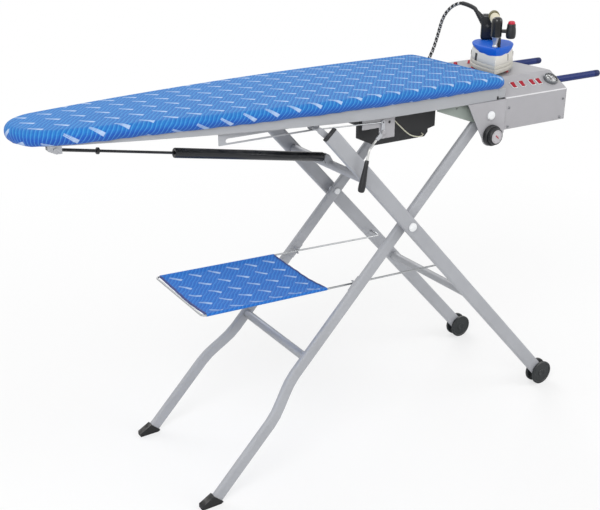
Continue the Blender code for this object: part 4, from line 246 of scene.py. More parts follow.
def make_print_group():
    """Printed cloth: slanted hatching that turns back and forth, with rows of short pale dashes."""
    group, s, given, result = shader_group(
        "hatched_print", [("Vector", VECTOR, None)],
        [("Hatch", NUMBER), ("Dash", NUMBER), ("Deep", NUMBER)])
    turned = s.add("ShaderNodeVectorRotate", {"Vector": given["Vector"], "Angle": PRINT_TURN},
                   rotation_type="Z_AXIS").outputs[0]
    wobble = s.sum("MULTIPLY", s.sum("SUBTRACT", s.noise(given["Vector"], 60.0, 2.0), 0.5), HATCH_WOBBLE)
    parts = s.add("ShaderNodeSeparateXYZ", {"Vector": turned}).outputs
    along = s.sum("ADD", parts["X"], wobble)
    across = parts["Y"]

    # Hatching: thin strokes across the dashes, whose lean changes a little from band to band
    lean = s.sum("ADD", s.sum("MULTIPLY", across, HATCH_TURN),
                 s.sum("MULTIPLY", s.sum("PINGPONG", across, HATCH_BAND), HATCH_LEAN))
    cycle = s.sum("FRACT", s.sum("DIVIDE", s.sum("ADD", along, lean), HATCH_PERIOD))
    line = s.between(s.sum("ABSOLUTE", s.sum("SUBTRACT", cycle, 0.5)), 0.16, 0.08)
    deep = s.between(s.sum("ABSOLUTE", s.sum("SUBTRACT", cycle, 0.12)), 0.17, 0.06)

    # Dashes: every second row starts half a period later
    row = s.sum("DIVIDE", across, DASH_ROW)
    shift = s.sum("MULTIPLY", s.sum("FLOOR", row), DASH_PERIOD / 2)
    start = s.sum("FRACT", s.sum("DIVIDE", s.sum("ADD", along, shift), DASH_PERIOD))
    run = s.sum("MULTIPLY", s.sum("ABSOLUTE", s.sum("SUBTRACT", start, 0.5)), DASH_PERIOD)
    rise = s.sum("MULTIPLY", s.sum("ABSOLUTE", s.sum("SUBTRACT", s.sum("FRACT", row), 0.5)), DASH_ROW)
    taper = s.between(start, 0.28, 0.72, 0.62, 1.0)
    height = s.sum("MULTIPLY", taper, DASH_HALF)
    inside = s.sum("MULTIPLY",
                   s.between(run, DASH_LENGTH / 2 + DASH_END_BLUR, DASH_LENGTH / 2 - DASH_END_BLUR),
                   s.between(s.sum("SUBTRACT", rise, height), DASH_SIDE_BLUR, -DASH_SIDE_BLUR))
    ribs = s.sum("FRACT", s.sum("DIVIDE", across, DASH_RIB))
    split = s.between(s.sum("ABSOLUTE", s.sum("SUBTRACT", ribs, 0.5)), 0.42, 0.26)
    ribbed = s.sum("MAXIMUM", s.sum("MULTIPLY", split, 0.8), s.between(start, 0.44, 0.58, 0.2, 0.9))
    s.feed(result.inputs["Hatch"], line)
    s.feed(result.inputs["Deep"], deep)
    s.feed(result.inputs["Dash"], s.sum("MULTIPLY", inside, ribbed))
    return group


soft_edges = make_edge_group()
grain = make_grain_group()
brushed_lines = make_brush_group()
dust = make_dust_group()
weave = make_weave_group()
hatched_print = make_print_group()


def new_finish(name, colour, roughness, metallic=0.0, **sockets):
    """Return a material, its shader, its Principled node and the place on the piece."""
    material = bpy.data.materials.new(name)
    material.use_nodes = True
    s = Shader(material.node_tree)
    skin = material.node_tree.nodes["Principled BSDF"]
    skin.inputs["Base Color"].default_value = colour
    skin.inputs["Roughness"].default_value = roughness
    skin.inputs["Metallic"].default_value = metallic
    for label, value in sockets.items():
        skin.inputs[label.replace("_", " ")].default_value = value
    where = s.add("ShaderNodeTexCoord").outputs["Object"]
    return material, s, skin, where


def use_group(s, group, **given):
    """Place a node group and return its outputs."""
    node = s.add("ShaderNodeGroup", node_tree=group)
    for label, value in given.items():
        s.feed(node.inputs[label.replace("_", " ")], value)
    return node.outputs


def bump(s, skin, height, strength, distance, normal=None):
    """Raise the surface by a height before it is shaded."""
    node = s.add("ShaderNodeBump", {"Height": height, "Strength": strength, "Distance": distance})
    if normal is not None:
        s.feed(node.inputs["Normal"], normal)
    s.feed(skin.inputs["Normal"], node.outputs[0])


DUST_TONE = (0.62, 0.60, 0.57, 1.0)
OUTER_FACE_Y, INNER_FACE_Y = 0.1712, 0.1700


def dimmed(colour, share):
    """Return a colour that is darker by a share."""
    return tuple(c * share for c in colour[:3]) + (1.0,)


def painted(name, colour, wear_and_highlight, roughness, metallic=0.0, edge=0.0008, dusty=0.15, grain_scale=900.0,
            texture=0.05, inner=None, **sockets):
    """Paint or moulded plastic with soft edges, cloudy tone, fine grain, edge wear and a little dust; on the
    panel the edge colour is a painted highlight along its folds.

    With inner, what lies nearer the table's middle than the brackets' outer face has that colour.
    """
    material, s, skin, where = new_finish(name, colour, roughness, metallic, **sockets)
    fine = use_group(s, grain, Vector=where, Scale=grain_scale)
    edges = use_group(s, soft_edges, Radius=edge, Vector=where)
    film = use_group(s, dust, Vector=where, Amount=dusty)
    shade = s.blend(fine["Cloud"], colour, dimmed(colour, 0.90))
    if inner:
        side = s.add("ShaderNodeSeparateXYZ", {"Vector": where}).outputs["Y"]
        out = s.sum("ABSOLUTE", s.sum("SUBTRACT", side, TABLE.y))
        shade = s.blend(s.between(out, OUTER_FACE_Y, INNER_FACE_Y), shade, inner)
    # Edge colour: wear, and on the panel a painted highlight along its folds
    shade = s.blend(s.sum("MULTIPLY", edges["Wear_And_Highlight"], 0.55), shade, wear_and_highlight)
    shade = s.blend(film["Mask"], shade, DUST_TONE)
    s.feed(skin.inputs["Base Color"], shade)
    rough = s.sum("ADD", roughness - 0.04, s.sum("MULTIPLY", fine["Cloud"], 0.08))
    rough = s.sum("ADD", rough, s.sum("MULTIPLY", film["Mask"], 0.5), clamp=True)
    s.feed(skin.inputs["Roughness"], rough)
    bump(s, skin, fine["Height"], texture, 0.0005, edges["Normal"])
    return material


def bright_metal(name, colour, roughness, stretch, edge=0.0006, metallic=1.0):
    """Bare metal with drawn lines, soft edges and small changes of gloss."""
    material, s, skin, where = new_finish(name, colour, roughness, metallic)
    lines = use_group(s, brushed_lines, Vector=where, Stretch=stretch)
    edges = use_group(s, soft_edges, Radius=edge, Vector=where)
    s.feed(skin.inputs["Base Color"], s.blend(lines["Shade"], dimmed(colour, 0.78), colour))
    s.feed(skin.inputs["Roughness"], s.between(lines["Shade"], 0, 1, roughness * 0.8, roughness * 1.3))
    bump(s, skin, lines["Height"], 0.04, 0.0004, edges["Normal"])
    return material


# Painted shade: the print darkens down the board's side, which faces away from the lamps, and the shelf's
# cloth, which lies far lower, keeps its tone
SIDE_TOP_Z, SIDE_LOW_Z = 0.9300, 0.9200
SHELF_CLEAR_Z, BOARD_START_Z = 0.80, 0.85
PRINT_THREADS = 1250.0


def printed_cloth(name, ground, hatch, deep, dash):
    """Blue printed cotton: hatching and dashes over a weave, a soft sheen, and painted shade down the board's
    side.
    """
    material, s, skin, place = new_finish(name, ground, 0.85, Sheen_Weight=0.06, Sheen_Roughness=0.5)
    where = s.add("ShaderNodeUVMap", uv_map="cloth").outputs[0]
    marks = use_group(s, hatched_print, Vector=where)
    height = s.add("ShaderNodeSeparateXYZ", {"Vector": place}).outputs["Z"]
    # Painted shade: darker below the board's top, down its side, but not on the shelf's cloth far lower
    side_shade = s.sum("MULTIPLY", s.between(height, SIDE_TOP_Z, SIDE_LOW_Z),
                 s.between(height, SHELF_CLEAR_Z, BOARD_START_Z))
    threads = use_group(s, weave, Vector=where, Threads=PRINT_THREADS)
    cloud = s.between(s.noise(where, 11.0, 3.0), 0.3, 0.7)
    shade = s.blend(s.sum("MULTIPLY", marks["Deep"], 0.55), ground, deep)
    shade = s.blend(s.sum("MULTIPLY", side_shade, 0.72), shade, deep)
    shade = s.blend(s.sum("MULTIPLY", marks["Hatch"], 0.42), shade, hatch)
    shade = s.blend(s.sum("MULTIPLY", marks["Dash"], 0.9), shade, dash)
    shade = s.blend(s.sum("MULTIPLY", threads["Shade"], 0.16), shade, deep)
    shade = s.blend(s.sum("MULTIPLY", cloud, 0.12), shade, (1.0, 1.0, 1.0, 1.0), "SOFT_LIGHT")
    s.feed(skin.inputs["Base Color"], shade)
    s.feed(skin.inputs["Roughness"], s.between(threads["Shade"], 0, 1, 0.78, 0.93))
    bump(s, skin, threads["Height"], 0.25, 0.0002)
    return material


def plain_cloth(name, colour, darker, threads_per_metre=1400.0):
    """Plain woven or felted cloth."""
    material, s, skin, _ = new_finish(name, colour, 0.95, Sheen_Weight=0.2)
    where = s.add("ShaderNodeUVMap", uv_map="cloth").outputs[0]
    threads = use_group(s, weave, Vector=where, Threads=threads_per_metre)
    fuzz = s.noise(where, 420.0, 3.0)
    shade = s.blend(threads["Shade"], colour, darker)
    s.feed(skin.inputs["Base Color"], shade)
    bump(s, skin, s.sum("ADD", threads["Height"], fuzz), 0.3, 0.0003)
    return material


YARNS_PER_TURN = 8.0
BRAID_PITCH_SHARE = 1.6


def braided(name, black, white, diameter):
    """Braided hose sleeve: black yarns with white tracer yarns, crossing both ways round the tube."""
    material, s, skin, _ = new_finish(name, black, 0.85, Sheen_Weight=0.2)
    where = s.add("ShaderNodeUVMap", uv_map="sleeve").outputs[0]
    parts = s.add("ShaderNodeSeparateXYZ", {"Vector": where}).outputs
    along = s.sum("DIVIDE", parts["X"], diameter * BRAID_PITCH_SHARE)
    round_turn = parts["Y"]
    yarns = []
    for way in (1.0, -1.0):
        path = s.sum("ADD", along, s.sum("MULTIPLY", round_turn, way))
        fine = s.sum("FRACT", s.sum("MULTIPLY", path, YARNS_PER_TURN))
        ridge = s.sum("SINE", s.sum("MULTIPLY", fine, math.pi))
        tracer = s.sum("FRACT", path)
        yarns.append((ridge, s.between(s.sum("ABSOLUTE", s.sum("SUBTRACT", tracer, 0.5)), 0.11, 0.08)))
    cells = [s.sum("FLOOR", s.sum("MULTIPLY", s.sum(way, along, round_turn), YARNS_PER_TURN))
             for way in ("ADD", "SUBTRACT")]
    over = s.sum("PINGPONG", s.sum("ADD", *cells), 1.0)
    height = s.blend(over, yarns[0][0], yarns[1][0])
    tracer = s.sum("MAXIMUM", yarns[0][1], s.sum("MULTIPLY", yarns[1][1], over))
    s.feed(skin.inputs["Base Color"], s.blend(tracer, black, white))
    bump(s, skin, height, 0.6, 0.0006)
    return material


silver_paint = painted("silver_paint", tone("a9abb0"), tone("c4c6c9"), 0.42, 0.15, texture=0.04)
bar_paint = painted("bar_paint", tone("a4a6aa"), tone("c4c6c9"), 0.40, 0.15, texture=0.04)
rail_paint = painted("rail_paint", tone("a9abaf"), tone("dadbdd"), 0.40, 0.10, edge=0.0016, texture=0.03)
# Painted highlight: the near-white edge colour over a wide edge lights the panel's folds
panel_paint = painted("panel_paint", tone("a9a8ac"), tone("f2f2f3"), 0.42, 0.05, edge=0.0030, texture=0.06)
bracket_paint = painted("bracket_paint", tone("acabaf"), tone("d2d2d3"), 0.45, 0.05, texture=0.06,
                        inner=tone("8d9690"))
black_moulding = painted("black_moulding", tone("15161a"), tone("3a3b40"), 0.48, texture=0.10,
                         grain_scale=700.0)
black_gloss = painted("black_gloss", tone("101216"), tone("33353a"), 0.25, texture=0.02)
wheel_black = painted("wheel_black", tone("1b2022"), tone("3a4043"), 0.55, texture=0.12, dusty=0.3)
foot_rubber = painted("foot_rubber", tone("1a1b1c"), tone("2e2f30"), 0.80, texture=0.15, dusty=0.35)
white_moulding = painted("white_moulding", tone("eef0f1"), tone("cfd1d2"), 0.40, texture=0.03)
beige_lead = painted("beige_lead", tone("cfcdb8"), tone("b4b29c"), 0.50, texture=0.04)
handle_blue = painted("handle_blue", tone("0f2666"), tone("16244f"), 0.46, texture=0.04, edge=0.0005,
                      dusty=0.0, Specular_IOR_Level=0.25)
handle_end = painted("handle_end", tone("101f52"), tone("182858"), 0.46, texture=0.04, edge=0.0005, dusty=0.0,
                     Specular_IOR_Level=0.25)
shield_blue = painted("shield_blue", tone("005ccc"), tone("0a48a0"), 0.50, texture=0.02, dusty=0.0,
                      Specular_IOR_Level=0.2)
stud_red = painted("stud_red", tone("b01c30"), tone("7d1222"), 0.45, texture=0.04)
rocker_red = painted("rocker_red", tone("a50c26"), tone("5a0a18"), 0.45, texture=0.03, edge=0.0007, dusty=0.0,
                     Specular_IOR_Level=0.25)
button_red = painted("button_red", tone("c01034"), tone("7d1222"), 0.40, texture=0.03, edge=0.0004)
iron_white = painted("iron_white", tone("dedbd3"), tone("fbfaf6"), 0.50, edge=0.0026, texture=0.02, dusty=0.0)
casting_paint = painted("casting_paint", tone("cac7bd"), tone("f2f1ec"), 0.50, edge=0.0022, texture=0.04,
                        dusty=0.0)
cork_grain = painted("cork_grain", tone("ddd6bc"), tone("a8946a"), 0.80, texture=0.35, grain_scale=260.0)
cork_rim = painted("cork_rim", tone("6b6442"), tone("4c4730"), 0.60, texture=0.2, grain_scale=300.0)
wire_steel = bright_metal("wire_steel", tone("b8babc"), 0.34, (3.0, 3.0, 3.0))
white_zinc = bright_metal("white_zinc", tone("dcdcd9"), 0.42, (3.0, 3.0, 3.0), metallic=0.35)
zinc_plate = bright_metal("zinc_plate", tone("c9cbd0"), 0.36, (2.0, 2.0, 12.0), metallic=0.85)
sole_metal = bright_metal("sole_metal", tone("c8c5bc"), 0.45, (1.0, 1.0, 10.0), metallic=0.35)
screw_steel = bright_metal("screw_steel", tone("8f9194"), 0.30, (4.0, 4.0, 4.0))
rod_black = painted("rod_black", tone("1c1e22"), tone("4a4c50"), 0.28, texture=0.02)
tin_plate = bright_metal("tin_plate", tone("c4c6c8"), 0.30, (1.0, 8.0, 8.0))
cover_print = printed_cloth("cover_print", tone("1273bb"), tone("56a4da"), tone("0c42a8"), tone("b6cce8"))
shelf_print = printed_cloth("shelf_print", tone("0c6ac2"), tone("4292d8"), tone("0c4cac"), tone("b0caea"))
# Dark blue of the shelf's folded hems: painted shade under the fold
hem_painted_shade = plain_cloth("hem_painted_shade", tone("16358c"), tone("0e2463"))
felt_cloth = plain_cloth("felt_cloth", tone("dcd8cc"), tone("c2bdae"), 500.0)
HOSE_RADIUS = 0.0046
hose_braid = braided("hose_braid", tone("0d0e10"), tone("e8e8e6"), HOSE_RADIUS * 2)
gauge_steel = bright_metal("gauge_steel", tone("85888c"), 0.36, (3.0, 3.0, 3.0), metallic=0.8)
mark_grey = painted("mark_grey", tone("6e7074"), tone("808286"), 0.50, texture=0.02, dusty=0.0)
# Near-white paint of the beads on the lid's folds: a painted highlight
fold_painted_highlight = painted("fold_painted_highlight", tone("e2e2e4"), tone("f4f4f5"), 0.38, texture=0.02, dusty=0.0)
knob_grey = painted("knob_grey", tone("b9b6ba"), tone("d8d8d8"), 0.40, texture=0.03)
clear_glass = painted("clear_glass", (1, 1, 1, 1), (0.9, 0.9, 0.9, 1), 0.05, texture=0.0, dusty=0.02,
                      Transmission_Weight=1.0, IOR=1.45)


# Making of pieces. Each is made round the origin, laid at its place, and given its finish and body.

ALONG_X, ALONG_Y, ALONG_Z = (1, 0, 0), (0, 1, 0), (0, 0, 1)
SIDES = (("near", -1), ("far", 1))

# Radius of the small disc in the middle of a turned face
POLE = 0.0004


def clear_bench():
    """Leave nothing chosen, so that the next tool acts on the new piece alone."""
    bpy.ops.object.select_all(action="DESELECT")


def choose(made, *others):
    """Choose a piece, and others with it."""
    clear_bench()
    for piece in (made, *others):
        piece.select_set(True)
    bpy.context.view_layer.objects.active = made


def closed(made):
    """Turn a piece's faces outward and leave edit mode."""
    bpy.ops.mesh.select_all(action="SELECT")
    bpy.ops.mesh.normals_make_consistent(inside=False)
    bpy.ops.object.mode_set(mode="OBJECT")
    return made


def disc(name, places):
    """Add a flat face with a corner at each place, and open it for shaping."""
    clear_bench()
    bpy.ops.mesh.primitive_circle_add(vertices=len(places), fill_type="NGON")
    made = bpy.context.object
    made.name = name
    for vertex, place in zip(made.data.vertices, places):
        vertex.co = place
    bpy.ops.object.mode_set(mode="EDIT")
    return made


def pushed_up(height, grow_x, grow_y, middle):
    """Push the chosen face up by a height and grow it about a middle."""
    bpy.ops.mesh.extrude_region_move(TRANSFORM_OT_translate={"value": (0, 0, height)})
    bpy.ops.transform.resize(value=(grow_x, grow_y, 1), center_override=middle)


def turned(name, rings, sides=48):
    """Turn a piece on the Z axis: a disc is pushed out ring by ring to each (radius, height)."""
    clear_bench()
    radius, height = rings[0]
    bpy.ops.mesh.primitive_circle_add(vertices=sides, radius=radius, fill_type="NGON",
                                      location=(0, 0, height))
    made = bpy.context.object
    made.name = name
    bpy.ops.object.mode_set(mode="EDIT")
    for wide, high in rings[1:]:
        pushed_up(high - height, wide / radius, wide / radius, (0, 0, high))
        radius, height = wide, high
    return closed(made)


def block(name, size):
    """Add a block of a size, standing on the origin."""
    clear_bench()
    bpy.ops.mesh.primitive_cube_add(size=1)
    made = bpy.context.object
    made.name = name
    made.data.transform(Matrix.Translation((0, 0, size[2] / 2)) @ Matrix.Diagonal((*size, 1)))
    return made


def hoop(name, radius, wire_radius, steps, wire_steps):
    """Add a round ring that lies on the origin."""
    clear_bench()
    bpy.ops.mesh.primitive_torus_add(major_segments=steps, minor_segments=wire_steps,
                                     major_radius=radius, minor_radius=wire_radius)
    made = bpy.context.object
    made.name = name
    return made


def framed(name, size, rim, floor):
    """Make an open frame: a block whose top is inset by a rim and sunk almost to its floor."""
    made = block(name, size)
    bpy.ops.object.mode_set(mode="EDIT")
    bpy.ops.mesh.select_all(action="DESELECT")
    bpy.ops.object.mode_set(mode="OBJECT")
    for face in made.data.polygons:
        face.select = face.normal.z > 0.9
    bpy.ops.object.mode_set(mode="EDIT")
    bpy.ops.mesh.inset(thickness=rim)
    bpy.ops.mesh.extrude_region_move(TRANSFORM_OT_translate={"value": (0, 0, floor - size[2])})
    return closed(made)


def softened(made, width, segments=2):
    """Round a piece's sharp edges for good."""
    bevel = made.modifiers.new("soft", "BEVEL")
    bevel.width = width
    bevel.segments = segments
    bevel.limit_method = "ANGLE"
    bevel.angle_limit = math.radians(30)
    choose(made)
    bpy.ops.object.modifier_apply(modifier=bevel.name)
    return made


def thickened(made, thickness, offset=-1.0):
    """Give a cloth its thickness for good."""
    solid = made.modifiers.new("cloth", "SOLIDIFY")
    solid.thickness = thickness
    solid.offset = offset
    solid.use_even_offset = False
    choose(made)
    bpy.ops.object.modifier_apply(modifier=solid.name)
    return made


def moved(made, x, y=0.0, z=0.0):
    """Move a piece in its mesh."""
    made.data.transform(Matrix.Translation((x, y, z)))
    return made


def upright(place, up=ALONG_Z, front=ALONG_X):
    """Return the matrix that stands a piece at a place with its Z along up and its X towards front."""
    way = Vector(up).normalized()
    side = way.cross(Vector(front))
    side = side.normalized() if side.length > 1e-6 else way.orthogonal().normalized()
    turn = Matrix((side.cross(way), side, way)).transposed().to_4x4()
    return Matrix.Translation(place) @ turn


def laid(made, place, up=ALONG_Z, front=ALONG_X):
    """Lay a piece that was made round the origin at its place, in its mesh."""
    made.data.transform(upright(place, up, front) @ made.matrix_world)
    made.matrix_world = Matrix.Identity(4)
    return made


def settled(made, finish, body, slot, *replaced, smooth=40):
    """Give a piece its finish and body, and hide the solids that it stands for. The slot is not used."""
    made.data.materials.clear()
    made.data.materials.append(finish)
    choose(made)
    bpy.ops.object.shade_smooth_by_angle(angle=math.radians(smooth))
    if body:
        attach(made, body)
    if replaced:
        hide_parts(*replaced)
    return made


def fitted(made, place, way, finish, body, slot, *replaced, front=ALONG_X, smooth=40):
    """Lay a piece at its place with its Z along a way, and settle it there."""
    return settled(laid(made, place, way, front), finish, body, slot, *replaced, smooth=smooth)


def joined(made, *others):
    """Join other pieces into a piece."""
    choose(made, *others)
    bpy.ops.object.join()
    return made


def mesh_piece(name, places, faces, layer, marks):
    """Make a piece from places and faces, with a place of its pattern for each face's corners."""
    mesh = bpy.data.meshes.new(name)
    mesh.from_pydata([tuple(p) for p in places], [], faces)
    uv = mesh.uv_layers.new(name=layer)
    for face, corners in zip(mesh.polygons, marks):
        for loop, mark in zip(face.loop_indices, corners):
            uv.data[loop].uv = mark
    mesh.validate()
    made = bpy.data.objects.new(name, mesh)
    bpy.context.collection.objects.link(made)
    return made


def cloth_piece(name, places, faces, marks):
    """Make a cloth from places and faces, where marks are the places on the flat cloth."""
    return mesh_piece(name, places, faces, "cloth", [[marks[c] for c in face] for face in faces])


def grid_faces(rows, wide):
    """Return the faces between rows of places, each wide places long."""
    return [(a, a + 1, a + wide + 1, a + wide)
            for row in range(rows - 1) for a in range(row * wide, row * wide + wide - 1)]


def eased(share):
    """Return a share from 0 to 1 that starts and stops gently."""
    share = min(max(share, 0.0), 1.0)
    return share * share * (3 - 2 * share)


def run_length(places):
    """Return the length of a run of places."""
    return sum((q - p).length for p, q in zip(places, places[1:]))


def curve_places(points, steps):
    """Return places on a smooth curve through points, with so many steps from one to the next."""
    fine = []
    padded = [points[0] * 2 - points[1]] + points + [points[-1] * 2 - points[-2]]
    for a, b, c, d in zip(padded, padded[1:], padded[2:], padded[3:]):
        for i in range(steps):
            t = i / steps
            fine.append(0.5 * (2 * b + (c - a) * t + (2 * a - 5 * b + 4 * c - d) * t ** 2
                               + (3 * b - a - 3 * c + d) * t ** 3))
    return fine + [points[-1]]


def evenly(fine, count):
    """Return count + 1 evenly spaced places on a run of places."""
    total = run_length(fine)
    places, walked, target = [fine[0]], 0.0, total / count
    for p, q in zip(fine, fine[1:]):
        step = (q - p).length
        while step > 0 and walked + step >= target - 1e-9 and len(places) < count:
            places.append(p.lerp(q, (target - walked) / step))
            target += total / count
        walked += step
    return places + [fine[-1]]


# Hose: from the iron's relief down to a coil on a peg behind the board, and on to the generator

COIL_PLACE = Vector((0.190, 0.1955, 0.832))
COIL_RADIUS = 0.0634
COIL_STEP = 0.0104
COIL_TURNS = 5.5
COIL_LAYERS = 4
COIL_POINTS_PER_TURN = 24
GAP = 0.0003
RELIEF_ROOT = Vector((0.4007, 0.0320, 1.0263))
RELIEF_WAY = Vector((-0.25, 0.65, 0.72)).normalized()
RELIEF_LENGTH = 0.045
GLAND_END = Vector((0.306, 0.1928, 0.832))
GUARD_PLACES = 12
GUARD_WALL = 0.0009
HOSE_ROUTE = (
    (0.378, 0.100, 1.075), (0.3725, 0.125, 1.070), (0.370, 0.150, 1.054), (0.3675, 0.170, 1.028),
    (0.3715, 0.188, 0.993), (0.370, 0.196, 0.966), (0.363, 0.200, 0.938), (0.3545, 0.205, 0.913),
    (0.345, 0.206, 0.880), (0.332, 0.206, 0.845), (0.308, 0.205, 0.810), (0.270, 0.2015, 0.785),
    (0.230, 0.198, 0.7725))
HOSE_LEAD_ROUTE = ((0.230, 0.2262, 0.8945), (0.260, 0.2245, 0.887), (0.284, 0.221, 0.868),
                   (0.299, 0.214, 0.846))


def coil_places():
    """Return the hose's places in the coil, whose layers spiral in and out by turns."""
    per_layer = COIL_TURNS / COIL_LAYERS
    total = int(COIL_TURNS * COIL_POINTS_PER_TURN)
    straight = Vector((2 * HOSE_RADIUS, 0, 0))
    places = []
    for i in range(total + 1):
        turn = COIL_TURNS * i / total
        layer = min(int(turn / per_layer), COIL_LAYERS - 1)
        within = turn - layer * per_layer
        radius = COIL_RADIUS - COIL_STEP * (within if layer % 2 == 0 else per_layer - within)
        level = sum(eased((turn - climb * per_layer) * 2 + 0.5) for climb in range(1, COIL_LAYERS))
        angle = -math.pi / 2 - math.tau * turn
        places.append(COIL_PLACE + Vector((radius * math.cos(angle), level * COIL_STEP,
                                           radius * math.sin(angle))))
    return [places[0] + straight] + places + [places[-1] + straight]


def hose_run(first, onward, route, last, back):
    """Return the hose's places from first to last: straight at both ends, through a route between."""
    points = [first + onward] + [Vector(p) for p in route] + [last + back]
    fine = curve_places(points, 12)
    count = max(round(run_length(fine) / (HOSE_RADIUS * 5)), 2)
    return [first] + evenly(fine, count) + [last]


def tube(name, places, radius, sides=14):
    """Make a closed round tube along places, whose sleeve pattern knows its length and turn."""
    points, faces, marks = [], [], []
    way = (places[1] - places[0]).normalized()
    side = way.orthogonal().normalized()
    for i, place in enumerate(places):
        before, after = places[max(i - 1, 0)], places[min(i + 1, len(places) - 1)]
        onward = (after - before).normalized()
        side = way.rotation_difference(onward) @ side
        way = onward
        side = (side - way * side.dot(way)).normalized()
        other = way.cross(side)
        for j in range(sides):
            angle = math.tau * j / sides
            points.append(place + (side * math.cos(angle) + other * math.sin(angle)) * radius)
    walked = 0.0
    for i, step in enumerate((q - p).length for p, q in zip(places, places[1:])):
        a, b = i * sides, (i + 1) * sides
        for j in range(sides):
            k = (j + 1) % sides
            faces.append((a + j, a + k, b + k, b + j))
            low, high = j / sides, (j + 1) / sides
            marks.append(((walked, low), (walked, high), (walked + step, high), (walked + step, low)))
        walked += step
    last = len(points) - sides
    faces += [tuple(range(sides))[::-1], tuple(range(last, last + sides))]
    marks += [((0.0, 0.0),) * sides, ((walked, 0.0),) * sides]
    return mesh_piece(name, points, faces, "sleeve", marks)


def make_hose():
    """The braided steam hose, its coil and the end that goes to the generator."""
    straight = 2 * HOSE_RADIUS
    sideways = Vector((straight, 0, 0))
    gap = Vector((GAP, 0, 0))
    coil = coil_places()
    rise = hose_run(RELIEF_ROOT + RELIEF_WAY * (RELIEF_LENGTH + GAP), RELIEF_WAY * straight, HOSE_ROUTE,
                    coil[0] + gap, sideways)
    lead = hose_run(coil[-1] + gap, sideways, HOSE_LEAD_ROUTE,
                    GLAND_END + Vector((0, GAP, 0)), Vector((0, straight, 0)))
    for name, node, places, lay in (("steam_hose_sleeve", "steam_hose", rise, "hanging"),
                                    ("hose_coil_sleeve", "hose_coil", coil, "coiled"),
                                    ("hose_lead_sleeve", "hose_lead", lead, "loose")):
        fine = [spot(*p) for p in curve_places(places, 2 if lay == "coiled" else 4)]
        sleeve = tube(name, fine, HOSE_RADIUS)
        settled(sleeve, hose_braid, None if lay == "hanging" else "board", "braid", node, smooth=60)
        if lay == "hanging":
            guard = tube("hose_guard", fine[:GUARD_PLACES], HOSE_RADIUS + GUARD_WALL)
            settled(guard, black_moulding, None, "braid", smooth=60)
            for piece in (sleeve, guard):
                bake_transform(piece)


make_hose()


# Board: printed cover with a puckered hem, and the felt under it

NOSE_X = -0.905
REAR_X = 0.285
HALF_WIDTH = 0.190
NOSE_HALF_WIDTH = 0.0935
NOSE_LENGTH = 0.075
TAPER_END_X = 0.050
REAR_ROUND_LENGTH = 0.085
REAR_POWER = 8.0
BOARD_COLUMNS = 20
CROWN_END = 0.10
COVER_THICKNESS = 0.0012
COVER_CROWN = 0.0022
FELT_CROWN = 0.0016
HEM_LIFT = 0.0052
HEM_LIFT_LENGTH = 0.35
PUCKER_DEPTH = 0.0009

# Waves round the hem: how many, how far and how often they swing, and their height
PUCKER_WAVES = ((61, 1.3, 7, 0.5), (97, 2.1, 5, 0.35), (23, 0.0, 1, 0.4))
GATHER_WAVES = ((43, 2.0, 11, 0.0007), (17, 0.0, 1, 0.0005))

# Rings down the side: inset from the board's outline, height, and share of the hem's ripple
COVER_RINGS = (
    (0.0170, 0.9374, 0.0), (0.0125, 0.9364, 0.0), (0.0085, 0.9348, 0.02), (0.0052, 0.9326, 0.05),
    (0.0027, 0.9298, 0.10), (0.0010, 0.9264, 0.20), (0.0002, 0.9228, 0.35), (0.0, 0.9192, 0.55),
    (0.0005, 0.9156, 0.75), (0.0018, 0.9122, 0.90), (0.0040, 0.9090, 1.0), (0.0066, 0.9066, 1.0),
    (0.0092, 0.9054, 0.9), (0.0112, 0.9058, 0.7))
FELT_RINGS = (
    (0.0190, 0.9348, 0.0), (0.0150, 0.9341, 0.0), (0.0105, 0.9325, 0.0), (0.0062, 0.9294, 0.0),
    (0.0036, 0.9250, 0.0), (0.0030, 0.9205, 0.0), (0.0040, 0.9172, 0.0), (0.0072, 0.9146, 0.0),
    (0.0120, 0.9122, 0.0), (0.0150, 0.9112, 0.0))


def board_half(count):
    """Return count + 1 evenly spaced (x, half width) places from the nose tip to the rear middle."""
    bend = (HALF_WIDTH - NOSE_HALF_WIDTH) / (TAPER_END_X - NOSE_X - NOSE_LENGTH) ** 2
    taper_x = NOSE_X + NOSE_LENGTH
    slope = math.atan(2 * bend * (TAPER_END_X - taper_x))
    nose_radius = NOSE_HALF_WIDTH / math.cos(slope)
    nose_centre = taper_x + nose_radius * math.sin(slope)
    fine, steps = [], 60
    for i in range(steps):
        angle = (math.pi / 2 - slope) * i / steps
        fine.append(Vector((nose_centre - nose_radius * math.cos(angle), nose_radius * math.sin(angle))))
    shift = Vector((NOSE_X - fine[0].x, 0))
    fine = [p + shift for p in fine]
    for i in range(steps + 1):
        x = taper_x + (TAPER_END_X - taper_x) * i / steps
        fine.append(Vector((x, HALF_WIDTH - bend * (TAPER_END_X - x) ** 2)))
    for i in range(steps + 1):
        angle = math.pi / 2 * (1 - i / steps)
        onward, wide = (max(turn, 0) ** (2 / REAR_POWER) for turn in (math.cos(angle), math.sin(angle)))
        fine.append(Vector((REAR_X - REAR_ROUND_LENGTH + REAR_ROUND_LENGTH * onward, HALF_WIDTH * wide)))
    fine[-1].y = 0
    return evenly(fine, count)


def mirrored(place):
    """Return a place of the outline on the board's other side."""
    return Vector((place.x, -place.y))


def board_ways(half):
    """Return the outward ways at each place of the half outline."""
    ways = []
    row = [mirrored(half[1])] + half + [mirrored(half[-2])]
    for before, after in zip(row, row[2:]):
        run = (after - before).normalized()
        ways.append(Vector((-run.y, run.x)))
    return ways


def waves(turn, table):
    """Return a sum of sine waves whose places swing back and forth."""
    return sum(height * math.sin(turn * count + swing * math.sin(turn * swings))
               for count, swing, swings, height in table)


def hem_ripple(share, x, amount):
    """Return how far the gathered hem stands out and rises at a share of the way round and a place x."""
    turn = share * math.tau
    lift = HEM_LIFT * eased((x - NOSE_X) / HEM_LIFT_LENGTH)
    return PUCKER_DEPTH * waves(turn, PUCKER_WAVES) * amount, (waves(turn, GATHER_WAVES) + lift) * amount


